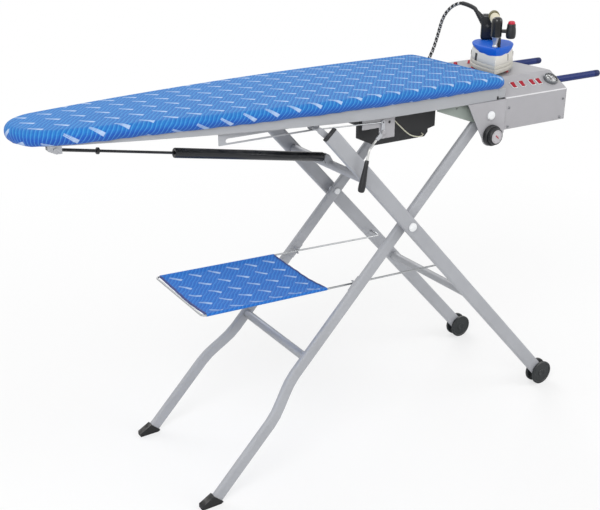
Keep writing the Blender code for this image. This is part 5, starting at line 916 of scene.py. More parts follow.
def board_form(name, half, rings, crown):
    """Make a skin over the board: a crowned top, and rings down its side."""
    ways = board_ways(half)
    count = len(half)
    inset, level = rings[0][:2]
    places, marks, grid, faces = [], [], [], []
    for i in range(count):
        x, wide = half[i] - ways[i] * inset
        if i in (0, count - 1):
            grid.append([len(places)] * (BOARD_COLUMNS + 1))
            places.append((x, 0.0, level))
            marks.append((x, 0.0))
            continue
        from_end = min(x - half[0].x - inset, half[-1].x - inset - x) / CROWN_END
        grid.append(list(range(len(places), len(places) + BOARD_COLUMNS + 1)))
        for j in range(BOARD_COLUMNS + 1):
            share = 2 * j / BOARD_COLUMNS - 1
            places.append((x, wide * share, level + crown * (1 - share * share) * eased(from_end)))
            marks.append((x, wide * share))
    for row, onward in zip(grid, grid[1:]):
        for j in range(BOARD_COLUMNS):
            faces.append(tuple(dict.fromkeys((row[j], onward[j], onward[j + 1], row[j + 1]))))
    others = range(count - 2, 0, -1)
    ring = [row[-1] for row in grid] + [grid[i][0] for i in others]
    outline = list(zip(half, ways)) + [(mirrored(half[i]), mirrored(ways[i])) for i in others]
    walked = [0.0]
    for (edge, _), (after, _) in zip(outline, outline[1:] + outline[:1]):
        walked.append(walked[-1] + (after - edge).length)
    down = 0.0
    for (inset_a, level_a, _), (inset_b, level_b, rippled) in zip(rings, rings[1:]):
        down += math.hypot(inset_b - inset_a, level_b - level_a)
        lower = []
        for (edge, way), run in zip(outline, walked):
            out, rise = hem_ripple(run / walked[-1], edge.x, rippled)
            lower.append(len(places))
            places.append((*(edge - way * (inset_b - out)), level_b + rise))
            marks.append(tuple(edge + way * (down - inset)))
        for i in range(len(ring)):
            j = (i + 1) % len(ring)
            faces.append((ring[j], ring[i], lower[i], lower[j]))
        ring = lower
    return cloth_piece(name, [spot(*p) for p in places], faces, marks)


def make_board_cloth():
    """The printed cover, drawn tight over the felt and gathered under the edge, and the felt."""
    cover = board_form("ironing_cover", board_half(230), COVER_RINGS, COVER_CROWN)
    thickened(cover, COVER_THICKNESS)
    settled(cover, cover_print, "board", "blue_fabric", "board_cover", smooth=60)

    felt = board_form("ironing_felt", board_half(120), FELT_RINGS, FELT_CROWN)
    choose(felt)
    bpy.ops.object.mode_set(mode="EDIT")
    bpy.ops.mesh.select_all(action="DESELECT")
    bpy.ops.mesh.select_non_manifold()
    bpy.ops.mesh.edge_face_add()
    closed(felt)
    settled(felt, felt_cloth, "board", "felt", "felt_pad", smooth=50)


make_board_cloth()


# Shelf: cloth with sleeves round the side rods

SHELF_SCREW_X = 0.13965
SHELF_SCREW_Z = 0.4431
SHELF_TILT = math.radians(2.6)
SHELF_ROD_Y = 0.128
SHELF_SEAM_Y = 0.1085
SHELF_FLAT_Y = 0.125
SHELF_CLOTH_ENDS = (0.3523, 0.6812)
SHELF_SAG = 0.0060
SHELF_END_LIFT = 0.0012
SHELF_END_SHARE = 0.08
SHELF_CLOTH_COLUMNS = 56
SHELF_CLOTH_THICKNESS = 0.0008
SLEEVE_RADIUS = 0.0030
LONG_WAVE_HEIGHT, LONG_WAVE_LENGTH = 0.0011, 0.115
CROSS_WAVE_HEIGHT, CROSS_WAVE_LENGTH = 0.0005, 0.036
PULL_HEIGHT, PULL_LENGTH = 0.0006, 0.019
PULL_START_Y, PULL_GROWTH = 0.085, 0.03
HEM_HALF_WIDTH = 0.1245
HEM_STEPS = 40
HEM_THICKNESS = 0.0007

# Section across the cloth at its sleeve: y, height and share of the sag
SLEEVE_UNDER = ((SHELF_SEAM_Y, -0.0020, 1.0), (0.1110, -0.0026, 0.6), (0.1180, -0.0029, 0.0))
SLEEVE_OVER = ((0.1250, 0.0027, 0.0), (0.1215, 0.0018, 0.2), (0.1180, 0.0010, 0.6), (0.1140, 0.0002, 1.0))

# Section of the folded hem: how far it stands out, and height
HEM_FOLD = ((-0.0120, -0.0016), (-0.0030, -0.0022), (0.0006, -0.0016), (0.0014, 0.0002), (0.0006, 0.0018),
            (-0.0030, 0.0014))


def shelf_section():
    """Return (y, height, share of sag) places across the shelf cloth, from one seam to the other."""
    side = list(SLEEVE_UNDER)
    for i in range(9):
        angle = math.pi * i / 8 - math.pi / 2
        side.append((SHELF_ROD_Y + SLEEVE_RADIUS * math.cos(angle), SLEEVE_RADIUS * math.sin(angle), 0.0))
    side += SLEEVE_OVER
    middle = [(SHELF_SEAM_Y * (1 - i / 15), 0.0, 1.0) for i in range(31)]
    return side + middle + [(-y, z, sag) for y, z, sag in reversed(side)]


def shelf_place(distance, y, height):
    """Return a place over the shelf, a distance to the left of its screws."""
    return spot(SHELF_SCREW_X - distance, y, SHELF_SCREW_Z + distance * math.tan(SHELF_TILT) + height)


def shelf_hollow(y):
    """Return how far the cloth sags between its rods."""
    return SHELF_SAG * (1 - (y / SHELF_ROD_Y) ** 2)


def shelf_wave(distance, y, share):
    """Return how far slow waves lift the cloth, which are flat at its rods."""
    wave = LONG_WAVE_HEIGHT * math.sin(math.tau * (distance / LONG_WAVE_LENGTH + 0.25 * math.sin(y * 30)))
    wave += CROSS_WAVE_HEIGHT * math.sin(math.tau * (y / CROSS_WAVE_LENGTH + 2.0 * share))
    return wave * (1 - (y / SHELF_FLAT_Y) ** 2)


def make_shelf_hem(name, end, outward):
    """The folded hem at one end of the shelf's cloth, in a dark blue that paints the shade under the fold."""
    points, marks = [], []
    for i in range(HEM_STEPS + 1):
        y = HEM_HALF_WIDTH * (1 - 2 * i / HEM_STEPS)
        lift = SHELF_END_LIFT - shelf_hollow(y) + shelf_wave(end, y, 1 if outward > 0 else 0)
        for out, high in HEM_FOLD:
            points.append(shelf_place(end + out * outward, y, high + lift))
            marks.append((out, y))
    hem = cloth_piece(name, points, grid_faces(HEM_STEPS + 1, len(HEM_FOLD)), marks)
    thickened(hem, HEM_THICKNESS, 0.0)
    return settled(hem, hem_painted_shade, "shelf", "blue_fabric", smooth=60)


def make_shelf_cloth():
    """The shelf's printed cloth on its rods, and its two hems."""
    section = shelf_section()
    start, stop = SHELF_CLOTH_ENDS
    places, marks = [], []
    across = [0.0]
    for (ya, za, _), (yb, zb, _) in zip(section, section[1:]):
        across.append(across[-1] + math.hypot(yb - ya, zb - za))
    middle = across[-1] / 2
    for i in range(SHELF_CLOTH_COLUMNS + 1):
        share = i / SHELF_CLOTH_COLUMNS
        distance = start + (stop - start) * share
        end_lift = (1 - eased(min(share, 1 - share) / SHELF_END_SHARE)) * SHELF_END_LIFT
        for (y, z, sag), run in zip(section, across):
            pull = PULL_HEIGHT * math.sin(math.tau * distance / PULL_LENGTH)
            pull *= eased((abs(y) - PULL_START_Y) / PULL_GROWTH)
            lift = shelf_wave(distance, y, share) + pull + end_lift - shelf_hollow(y)
            places.append(shelf_place(distance, y, z + lift * sag))
            marks.append((-distance, middle - run))
    faces = grid_faces(SHELF_CLOTH_COLUMNS + 1, len(section))
    cloth = cloth_piece("shelf_cloth_print", places, faces, marks)
    thickened(cloth, SHELF_CLOTH_THICKNESS, 0.0)
    settled(cloth, shelf_print, "shelf", "blue_fabric", "shelf_cloth", smooth=60)
    hems = [make_shelf_hem("shelf_hem_left", stop, 1), make_shelf_hem("shelf_hem_right", start, -1)]


make_shelf_cloth()


# Generator: studs, rockers, gauge, knob, handles and screws. Rings of turned pieces are (radius, height).

GEN_FRONT_X = 0.288
GEN_LENGTH = 0.217
GEN_HALF_WIDTH = 0.1775
GEN_SHOULDER_Z = 0.880
GEN_TOP_Z = 0.9175
SLOPE_RUN = 0.0655
SLOPE_RISE = 0.0375
SLOPE_NORMAL = Vector((0, -SLOPE_RISE, SLOPE_RUN)).normalized()
SLOPE_UP = Vector((0, SLOPE_RUN, SLOPE_RISE)).normalized()
SLOPE_SHARE = 0.52
HAIR = 0.0001
STUD_X = (0.3355, 0.3865)
STUD_Y = (-0.071, 0.0, 0.071)
STUD_RINGS = ((0.0066, 0), (0.0066, 0.0012), (0.0056, 0.0020), (0.0054, 0.0058), (0.0050, 0.0078),
              (0.0038, 0.0086), (0.0010, 0.00872))
ROCKER_SHARES = (0.258, 0.396, 0.558, 0.668)
ROCKER_FRAME_SIZE = (0.0144, 0.0216, 0.0022)
ROCKER_FRAME_RIM = 0.0013
ROCKER_FRAME_FLOOR = 0.0002
FINE_EDGE = 0.0004


def slope_place(share_along, rise):
    """Return a place on the generator's near slope, a share of its length along and a rise above it."""
    foot = Vector((GEN_FRONT_X + GEN_LENGTH * share_along, -GEN_HALF_WIDTH, GEN_SHOULDER_Z))
    return spot(*(foot + SLOPE_UP * (SLOPE_SHARE * math.hypot(SLOPE_RUN, SLOPE_RISE)) + SLOPE_NORMAL * rise))


def make_studs():
    """Red silicone caps that the iron stands on."""
    for i, x in enumerate(STUD_X):
        for j, y in enumerate(STUD_Y):
            cap = turned("stud_cap_%d_%d" % (i + 1, j + 1), STUD_RINGS, 28)
            fitted(cap, spot(x, y, GEN_TOP_Z + HAIR), ALONG_Z, stud_red, "board", "red_silicone", smooth=50)


def make_rocker_frames():
    """Pale frames that the rockers sit in."""
    for index, share in enumerate(ROCKER_SHARES):
        name = "rocker_frame_%d" % (index + 1)
        edge = softened(framed(name, ROCKER_FRAME_SIZE, ROCKER_FRAME_RIM, ROCKER_FRAME_FLOOR), FINE_EDGE)
        fitted(edge, slope_place(share, HAIR / 2), SLOPE_NORMAL, white_moulding, "board", "black_plastic")


MARK_DEPTH = 0.0003
MARK_START = 225
MARK_SWEEP = 270


def dial_marks(name, count, long_every, long, short, wide, radius, height):
    """Make marks round three quarters of a turn, with a longer one at steady counts."""
    marks = []
    for i in range(count):
        angle = math.radians(MARK_START - MARK_SWEEP * i / (count - 1))
        mark = block(name, (short if i % long_every else long, wide, MARK_DEPTH))
        mark.data.transform(Matrix.Rotation(angle, 4, "Z") @ Matrix.Translation((radius, 0, height)))
        marks.append(mark)
    return joined(*marks)


GAUGE_SHARE = 0.866
GAUGE_RINGS = ((0.0194, 0), (0.0195, 0.0022), (0.0195, 0.0070), (0.0188, 0.0080), (0.0176, 0.0080),
               (0.0171, 0.0074), (0.0171, 0.0012), (POLE, 0.0012))
GAUGE_DIAL_RINGS = ((0.0168, 0.0014), (0.0168, 0.0019), (POLE, 0.0019))
GAUGE_GLASS_RINGS = ((0.0151, 0.0060), (0.0151, 0.0066), (0.0110, 0.0070), (0.0060, 0.0072), (POLE, 0.0073))
GAUGE_EDGE = 0.0003
GAUGE_MARKS = {"count": 21, "long_every": 5, "long": 0.0026, "short": 0.0014, "wide": 0.0004,
               "radius": 0.0140, "height": 0.0018}
GAUGE_LIP_RADIUS = 0.0162
GAUGE_LIP_WIRE = 0.0009
GAUGE_LIP_HEIGHT = 0.0064


def make_gauge():
    """The gauge's ring, a black lip that paints the shade inside it, dial, marks and glass round the needle.
    """
    place = slope_place(GAUGE_SHARE, GAP)
    case = softened(turned("gauge_ring", GAUGE_RINGS, 72), GAUGE_EDGE)
    # The black lip paints the shade inside the gauge's ring
    lip = moved(hoop("gauge_lip", GAUGE_LIP_RADIUS, GAUGE_LIP_WIRE, 64, 12), 0, 0, GAUGE_LIP_HEIGHT)
    fitted(case, place, SLOPE_NORMAL, gauge_steel, "board", "black_plastic", "gauge_body")
    fitted(lip, place, SLOPE_NORMAL, black_gloss, "board", "black_plastic", smooth=60)
    dial = turned("gauge_dial", GAUGE_DIAL_RINGS, 64)
    fitted(dial, place, SLOPE_NORMAL, white_moulding, "board", "white_plastic")
    marks = dial_marks("gauge_marks", **GAUGE_MARKS)
    fitted(marks, place, SLOPE_NORMAL, mark_grey, "board", "black_plastic")
    glass = turned("gauge_glass", GAUGE_GLASS_RINGS, 64)
    fitted(glass, place, SLOPE_NORMAL, clear_glass, "board", "white_plastic")


KNOB_PLACE = spot(0.243, -0.1806, 0.793)
KNOB_WAY = (0, -1, 0)
KNOB_SIDES = 90
KNOB_SKIRT_RINGS = ((0.0262, 0), (0.0265, 0.0010), (0.0265, 0.0090), (0.0258, 0.0110), (0.0240, 0.0128),
                    (0.0236, 0.0122), (0.0228, 0.0122), (POLE, 0.0122))
KNOB_BARREL_RINGS = ((0.0222, 0.0120), (0.0218, 0.0180), (0.0208, 0.0216), (0.0190, 0.0232),
                     (0.0176, 0.0238), (0.0172, 0.0232), (POLE, 0.0230))
KNOB_FACE_RINGS = ((0.0170, 0.0231), (0.0170, 0.0236), (0.0164, 0.0240), (POLE, 0.0239))
KNOB_MARKS = {"count": 19, "long_every": 3, "long": 0.0026, "short": 0.0016, "wide": 0.0006,
              "radius": 0.0142, "height": 0.0238}
POINTER_SIZE = (0.0026, 0.0130, 0.0010)
POINTER_HEIGHT = 0.0236
POINTER_TURN = math.radians(50)


def make_knob():
    """The thermostat knob: a black skirt and barrel, and a pale face with marks and a pointer."""
    skirt = softened(turned("knob_skirt", KNOB_SKIRT_RINGS, KNOB_SIDES), FINE_EDGE)
    fitted(skirt, KNOB_PLACE, KNOB_WAY, black_moulding, "control_knob", "black_plastic", "control_knob")
    barrel = turned("knob_barrel", KNOB_BARREL_RINGS, KNOB_SIDES)
    fitted(barrel, KNOB_PLACE, KNOB_WAY, black_moulding, "control_knob", "black_plastic")
    face = turned("knob_face", KNOB_FACE_RINGS, KNOB_SIDES)
    fitted(face, KNOB_PLACE, KNOB_WAY, knob_grey, "control_knob", "black_plastic")
    marks = dial_marks("knob_marks", **KNOB_MARKS)
    fitted(marks, KNOB_PLACE, KNOB_WAY, black_moulding, "control_knob", "black_plastic")
    pointer = softened(block("knob_pointer", POINTER_SIZE), FINE_EDGE)
    pointer.data.transform(Matrix.Rotation(POINTER_TURN, 4, "Z"))
    moved(pointer, 0, 0, POINTER_HEIGHT)
    fitted(pointer, KNOB_PLACE, KNOB_WAY, rocker_red, "control_knob", "black_plastic")


HANDLE_X, HANDLE_Y, HANDLE_Z = 0.5053, 0.110, 0.8875
HANDLE_TUBE_RINGS = ((0.0088, 0), (0.0092, 0.0004), (0.0092, 0.1720), (0.0090, 0.1722), (POLE, 0.1722))
HANDLE_CAP_RINGS = ((0.0088, 0.1722), (0.0092, 0.1730), (0.0092, 0.1880), (0.0086, 0.1918),
                    (0.0066, 0.1942), (POLE, 0.1947))
HANDLE_COLLAR_RINGS = ((0.0128, -0.0001), (0.0128, 0.0021), (0.0112, 0.0039), (0.0094, 0.0043))


def make_handles():
    """The two blue tubes behind the generator, with dark end caps and collars."""
    for label, side in SIDES:
        place = spot(HANDLE_X, side * HANDLE_Y, HANDLE_Z)
        for name, rings, finish, slot, replaced in (
                ("handle_tube_", HANDLE_TUBE_RINGS, handle_blue, "blue_tube", ["handle_" + label]),
                ("handle_cap_", HANDLE_CAP_RINGS, handle_end, "black_plastic", []),
                ("handle_collar_", HANDLE_COLLAR_RINGS, black_moulding, "black_plastic", [])):
            fitted(turned(name + label, rings), place, ALONG_X, finish, "board", slot, *replaced,
                   front=ALONG_Y)


PANEL_SCREWS = ((0.302, 0.854), (0.302, 0.806), (0.488, 0.806), (0.494, 0.854))
SCREW_RADIUS = 0.0034

# A screw's pan head with a round recess, in shares of its radius
SCREW_SHARES = ((1.0, 0.0), (1.0, 0.25), (0.86, 0.5), (0.6, 0.62), (0.42, 0.64), (0.40, 0.3), (0.05, 0.22))
FOLD_RADIUS = 0.0017
FOLD_INSET = 0.0008
FOLD_DROP = 0.0003
FOLD_RINGS = ((POLE, 0.0010), (FOLD_RADIUS, 0.0016), (FOLD_RADIUS, GEN_LENGTH - 0.0016),
              (POLE, GEN_LENGTH - 0.0010))
RAIL_END_SIZE = (0.0276, 0.0012, 0.0236)
RAIL_END_EDGE = 0.0005
RAIL_END_X, RAIL_END_Y, RAIL_END_Z = 0.2737, 0.1752, 0.8828
BUMPER_X, BUMPER_Y, BUMPER_Z = 0.262, 0.172, 0.8800
BUMPER_RINGS = ((0.0052, 0), (0.0054, 0.0010), (0.0052, 0.0060), (0.0040, 0.0085), (0.0018, 0.0094),
                (POLE, 0.0095))
PLATE_HOLE_PLACE = spot(-0.063, -0.1609, 0.8644)
PLATE_HOLE_RINGS = ((0.0034, 0), (0.0034, 0.0004), (POLE, 0.0004))
GLAND_PLACE = spot(0.306, 0.1778, 0.832)
GLAND_RINGS = ((0.0080, 0), (0.0085, 0.0008), (0.0085, 0.0060), (0.0078, 0.0068), (0.0074, 0.0100),
               (0.0066, 0.0148), (POLE, 0.0150))


def make_generator_fittings():
    """Screws in the panels, pale beads that paint a highlight on the lid's folded edges, the rail's end
    plates and bumpers, a black disc that paints the shade in the lever plate's hole, and the gland.
    """
    head = [(SCREW_RADIUS * wide, SCREW_RADIUS * high) for wide, high in SCREW_SHARES]
    for index, (x, z) in enumerate(PANEL_SCREWS):
        for label, side in SIDES:
            screw = turned("panel_screw_%s_%d" % (label, index + 1), head, 24)
            fitted(screw, spot(x, side * (GEN_HALF_WIDTH + HAIR / 2), z), (0, side, 0), screw_steel, "board",
                   "steel")
    for label, side in SIDES:
        # Pale beads along the lid's folds, a painted highlight
        fold = turned("panel_fold_" + label, FOLD_RINGS, 20)
        fitted(fold, spot(GEN_FRONT_X, side * (GEN_HALF_WIDTH - FOLD_INSET), GEN_SHOULDER_Z - FOLD_DROP),
               ALONG_X, fold_painted_highlight, "board", "silver_paint", front=ALONG_Y, smooth=60)
        end = softened(block("rail_end_" + label, RAIL_END_SIZE), RAIL_END_EDGE)
        fitted(end, spot(RAIL_END_X, side * RAIL_END_Y, RAIL_END_Z), ALONG_Z, rail_paint, "board",
               "silver_paint")
        bumper = turned("rail_bumper_" + label, BUMPER_RINGS, 32)
        fitted(bumper, spot(BUMPER_X, side * BUMPER_Y, BUMPER_Z), ALONG_Z, black_moulding, "board",
               "black_plastic", smooth=60)
    # A black disc paints the shade in the lever plate's hole
    hole = turned("lever_plate_hole", PLATE_HOLE_RINGS, 32)
    fitted(hole, PLATE_HOLE_PLACE, (0, -1, 0), black_moulding, "board", "black_plastic")
    gland = turned("gland_nut", GLAND_RINGS, 36)
    fitted(gland, GLAND_PLACE, ALONG_Y, black_moulding, "board", "black_plastic", "hose_gland")


# Iron on its studs: made along X from its tip, then turned to its heading

IRON_LENGTH = 0.200
IRON_HALF_WIDTH = 0.056
IRON_SHOULDER = 0.135
IRON_RISE = 0.006
IRON_TIP = spot(0.302, -0.116, 0.9263)
IRON_HEADING = math.radians(50.5)
IRON_ALONG = Vector((math.cos(IRON_HEADING), math.sin(IRON_HEADING), 0))
STEM_FRONT = 0.036
STEM_REAR = 0.177
STEM_REAR_ACROSS = 0.010
BUTTON_ACROSS = -0.036
HOUSING_FOOT, HOUSING_TOP = 0.0212, 0.0460
SHIELD_TOP = 0.0592
SHIELD_SKIRT = 0.0560
SKIRT_HEIGHT = 0.006
SKIRT_TIP_DROP, SKIRT_TIP_END, SKIRT_TIP_FADE = 0.0068, 0.035, 0.075
SKIRT_REAR_LIFT, SKIRT_REAR_START = 0.0042, 0.05
SCALLOP_HEIGHT, SCALLOP_START, SCALLOP_LENGTH = 0.0016, 0.004, 0.042
SCALLOP_END, SCALLOP_FADE = 0.04, 0.05

# Rings of the iron's forms: inset from its outline, and height
SOLE_RINGS = ((0.0016, 0.0), (0.0003, 0.0008), (0.0, 0.0020), (0.0, 0.0106), (0.0005, 0.0111),
              (0.0012, 0.0112), (0.0012, 0.0116))
CASTING_RINGS = ((0.0012, 0.0117), (0.0008, 0.0121), (0.0010, 0.0206), (0.0014, 0.0210))
HOUSING_RINGS = ((0.0016, 0.0211), (0.0012, 0.0215), (0.0016, 0.0300), (0.0030, 0.0390), (0.0046, 0.0440),
                 (0.0062, HOUSING_TOP))
SHIELD_RINGS = ((0.0070, 0.0463), (0.0038, 0.0463), (0.0026, 0.0495), (0.0022, 0.0540), (0.0030, 0.0570),
                (0.0052, 0.0586), (0.0085, SHIELD_TOP))

# Slots in the housing, whose shade is painted by black blocks: place along the iron, side, low and high end,
# and width
SLOTS = ((0.080, 1, 0.0214, 0.0406, 0.0125), (0.060, -1, 0.0262, 0.0430, 0.0020),
         (0.132, 1, 0.0280, 0.0400, 0.0020), (0.122, -1, 0.0280, 0.0400, 0.0020))
SLOT_DEPTH = 0.0016
SLOT_INSET = 0.0025
SLOT_EDGE = 0.0005
SLOT_LEAN = 0.06
SLOPE_STEP = 0.002


def iron_side(along):
    """Return how far the iron's side stands from its middle line at a place along it."""
    return IRON_HALF_WIDTH * math.sin(min(along / IRON_SHOULDER, 1) * math.pi / 2) ** 0.9


def iron_outline(inset, height, steps=20):
    """Return the iron's plan outline at an inset and a height, tip first."""
    side = [(IRON_SHOULDER * i / steps, iron_side(IRON_SHOULDER * i / steps)) for i in range(steps + 1)]
    for i in range(1, steps + 1):
        angle = math.pi / 2 * i / steps
        side.append((IRON_SHOULDER + (IRON_LENGTH - IRON_SHOULDER) * math.sin(angle),
                     IRON_HALF_WIDTH * max(math.cos(angle), 0) ** 0.5))
    long, wide = (IRON_LENGTH - 2 * inset) / IRON_LENGTH, (IRON_HALF_WIDTH - inset) / IRON_HALF_WIDTH
    side = [(inset + u * long, v * wide, height) for u, v in side]
    side[-1] = (side[-1][0], 0, height)
    return side + [(u, -v, z) for u, v, z in reversed(side[1:-1])]


def iron_form(name, rings):
    """Raise a form on the iron's plan: each (inset, height) ring is pushed up and drawn in."""
    inset, height = rings[0]
    made = disc(name, iron_outline(inset, height))
    for next_inset, next_height in rings[1:]:
        long = (IRON_LENGTH - 2 * next_inset) / (IRON_LENGTH - 2 * inset)
        wide = (IRON_HALF_WIDTH - next_inset) / (IRON_HALF_WIDTH - inset)
        pushed_up(next_height - height, long, wide, (IRON_LENGTH / 2, 0, 0))
        inset, height = next_inset, next_height
    return closed(made)


def raised_prow(made, low, high):
    """Lift a form's front: nothing at its low height, and the whole rise at the tip from its high one."""
    for vertex in made.data.vertices:
        share = min(max((vertex.co.z - low) / (high - low), 0.0), 1.0) if high > low else 1.0
        vertex.co.z += IRON_RISE * share * (1 - vertex.co.x / IRON_LENGTH)
    return made


def on_iron(made, finish, slot, *replaced, smooth=40, body="iron"):
    """Lay a piece that was made along the iron's own axes on the iron."""
    return fitted(made, IRON_TIP, ALONG_Z, finish, body, slot, *replaced, front=IRON_ALONG, smooth=smooth)


def shield_top(along):
    """Return the height of the heat shield's top over a place along the iron."""
    return SHIELD_TOP + IRON_RISE * (1 - along / IRON_LENGTH)


def skirt_dip(along):
    """Return how far the shield's lower edge rises at a place along the iron: low and scalloped in front."""
    tip = 1 - eased((along - SKIRT_TIP_END) / SKIRT_TIP_FADE)
    rear = eased((along - SKIRT_REAR_START) / SKIRT_TIP_FADE)
    scallop = math.cos(math.tau * (along - SCALLOP_START) / SCALLOP_LENGTH)
    fade = 1 - eased((along - SCALLOP_END) / SCALLOP_FADE)
    return SKIRT_REAR_LIFT * rear - SKIRT_TIP_DROP * tip + SCALLOP_HEIGHT * scallop * fade


def make_iron_body():
    """Sole, bare casting, white housing with black blocks that paint the shade in its slots, and the
    scalloped heat shield.
    """
    on_iron(iron_form("iron_sole_plate", SOLE_RINGS), sole_metal, "aluminium", "iron_sole", smooth=50)
    on_iron(iron_form("iron_casting", CASTING_RINGS), casting_paint, "aluminium", smooth=50)
    housing = raised_prow(iron_form("iron_housing", HOUSING_RINGS), HOUSING_FOOT, HOUSING_TOP)
    on_iron(housing, iron_white, "aluminium", "iron_body", smooth=50)
    shield = raised_prow(iron_form("iron_heat_shield", SHIELD_RINGS), 0.0, 0.0)
    for vertex in shield.data.vertices:
        u = vertex.co.x
        skirt_top = SHIELD_SKIRT + IRON_RISE * (1 - u / IRON_LENGTH)
        vertex.co.z += skirt_dip(u) * eased((skirt_top - vertex.co.z) / SKIRT_HEIGHT)
    on_iron(shield, shield_blue, "blue_plastic", "heat_shield", smooth=50)
    # Black blocks in the slots: painted shade
    for index, (u, side, low, high, wide) in enumerate(SLOTS):
        slope = (iron_side(u + SLOPE_STEP) - iron_side(u - SLOPE_STEP)) / (2 * SLOPE_STEP)
        way = Vector((-slope, side, SLOT_LEAN)).normalized()
        slot = softened(block("housing_slot_%d" % (index + 1), (wide, high - low, SLOT_DEPTH)), SLOT_EDGE)
        laid(slot, (u, side * (iron_side(u) - SLOT_INSET), (low + high) / 2), way, way.cross(Vector(ALONG_Z)))
        on_iron(slot, black_moulding, "black_plastic")


PILLAR_BASE = shield_top(STEM_FRONT) + 0.0002
PILLAR_RINGS = ((0.0080, PILLAR_BASE), (0.0080, PILLAR_BASE + 0.0020), (0.0066, PILLAR_BASE + 0.0034),
                (0.0062, PILLAR_BASE + 0.0070), (0.0072, PILLAR_BASE + 0.0130), (0.0096, 0.0872),
                (0.0108, 0.0886), (0.0108, 0.0904))
RIB_SIZE = (0.0120, 0.0062, 0.0880 - PILLAR_BASE)
RIB_BACK, RIB_ACROSS, RIB_RISE = 0.0010, -0.0092, 0.0008
RIB_EDGE = 0.0016
STEM_RINGS = ((0.0118, 0.0896), (0.0132, 0.0904), (0.0135, 0.0925), (0.0135, 0.1270), (0.0131, 0.1310),
              (0.0118, 0.1350), (0.0095, 0.1376), (0.0060, 0.1390), (POLE, 0.1393))
ARM_HEIGHT = 0.1045
ARM_RINGS = ((0.0052, 0.0), (0.0045, 0.016), (0.0052, -BUTTON_ACROSS))
BUTTON_HOUSING_RINGS = (
    (0.0066, 0.0860), (0.0092, 0.0866), (0.0110, 0.0884), (0.0121, 0.0920), (0.0125, 0.0970),
    (0.0124, 0.1030), (0.0118, 0.1100), (0.0108, 0.1155), (0.0106, 0.1200), (0.0103, 0.1222),
    (0.0098, 0.1226), (0.0094, 0.1222), (0.0093, 0.1190), (0.0069, 0.1189), (0.0067, 0.1118),
    (POLE, 0.1116))
BUTTON_RINGS = ((0.0060, 0.1153), (0.0060, 0.1224), (0.0086, 0.1224), (0.0090, 0.1230), (0.0087, 0.1262),
                (0.0076, 0.1288), (0.0054, 0.1300), (POLE, 0.1304))
REAR_LENGTH, REAR_WIDTH, REAR_TOP = 0.026, 0.042, 0.1275
REAR_EDGE = 0.0065
GRIP_HEIGHT = 0.125
GRIP_START = STEM_FRONT + 0.0138
GRIP_LENGTH = STEM_REAR - 0.0133 - GRIP_START
GRIP_RADIUS = 0.0108
GRIP_END_RADIUS = 0.0102
GRIP_SWELL = 0.0024
GRIP_STEPS = 16
FRONT_RIM = 0.0040
REAR_RIM = 0.0240
RIM_ROUND = 0.0010
RIM_LIP = 0.0008
RIM_BORE = 0.0104
FRONT_RIM_RADIUS, REAR_RIM_RADIUS = 0.0118, 0.0142

# Hose relief: rings of its foot, one rib as steps from its start, and rings of its end
RELIEF_FOOT_RINGS = ((0.0112, -0.012), (0.0125, -0.004), (0.0122, 0.004))
RELIEF_RIB = ((0.0, 0.0), (-0.0003, 0.0030), (-0.0013, 0.0035), (-0.0015, 0.0047))
RELIEF_END_RINGS = ((0.0056, 0.0440), (0.0050, 0.0449), (0.0047, 0.0450))
RELIEF_RIBS = 7
RELIEF_START = 0.007
RELIEF_PITCH = 0.0052
RELIEF_WIDE = 0.0116
RELIEF_TAPER = 0.0052


def relief_rings():
    """Return the rings of the hose's ribbed relief, which tapers towards its end."""
    rings = list(RELIEF_FOOT_RINGS)
    for i in range(RELIEF_RIBS):
        start = RELIEF_START + i * RELIEF_PITCH
        wide = RELIEF_WIDE - RELIEF_TAPER * i / (RELIEF_RIBS - 1)
        rings += [(wide + out, start + onward) for out, onward in RELIEF_RIB]
    return rings + list(RELIEF_END_RINGS)


def grip_rings():
    """Return the rings of the cork grip, which swells a little in its middle."""
    cork = GRIP_LENGTH - FRONT_RIM - REAR_RIM
    rings = [(GRIP_END_RADIUS, FRONT_RIM)]
    for i in range(GRIP_STEPS + 1):
        swell = GRIP_SWELL * math.sin(math.pi * i / GRIP_STEPS) ** 0.8
        rings.append((GRIP_RADIUS + swell, FRONT_RIM + cork * i / GRIP_STEPS))
    return rings + [(GRIP_END_RADIUS, FRONT_RIM + cork)]


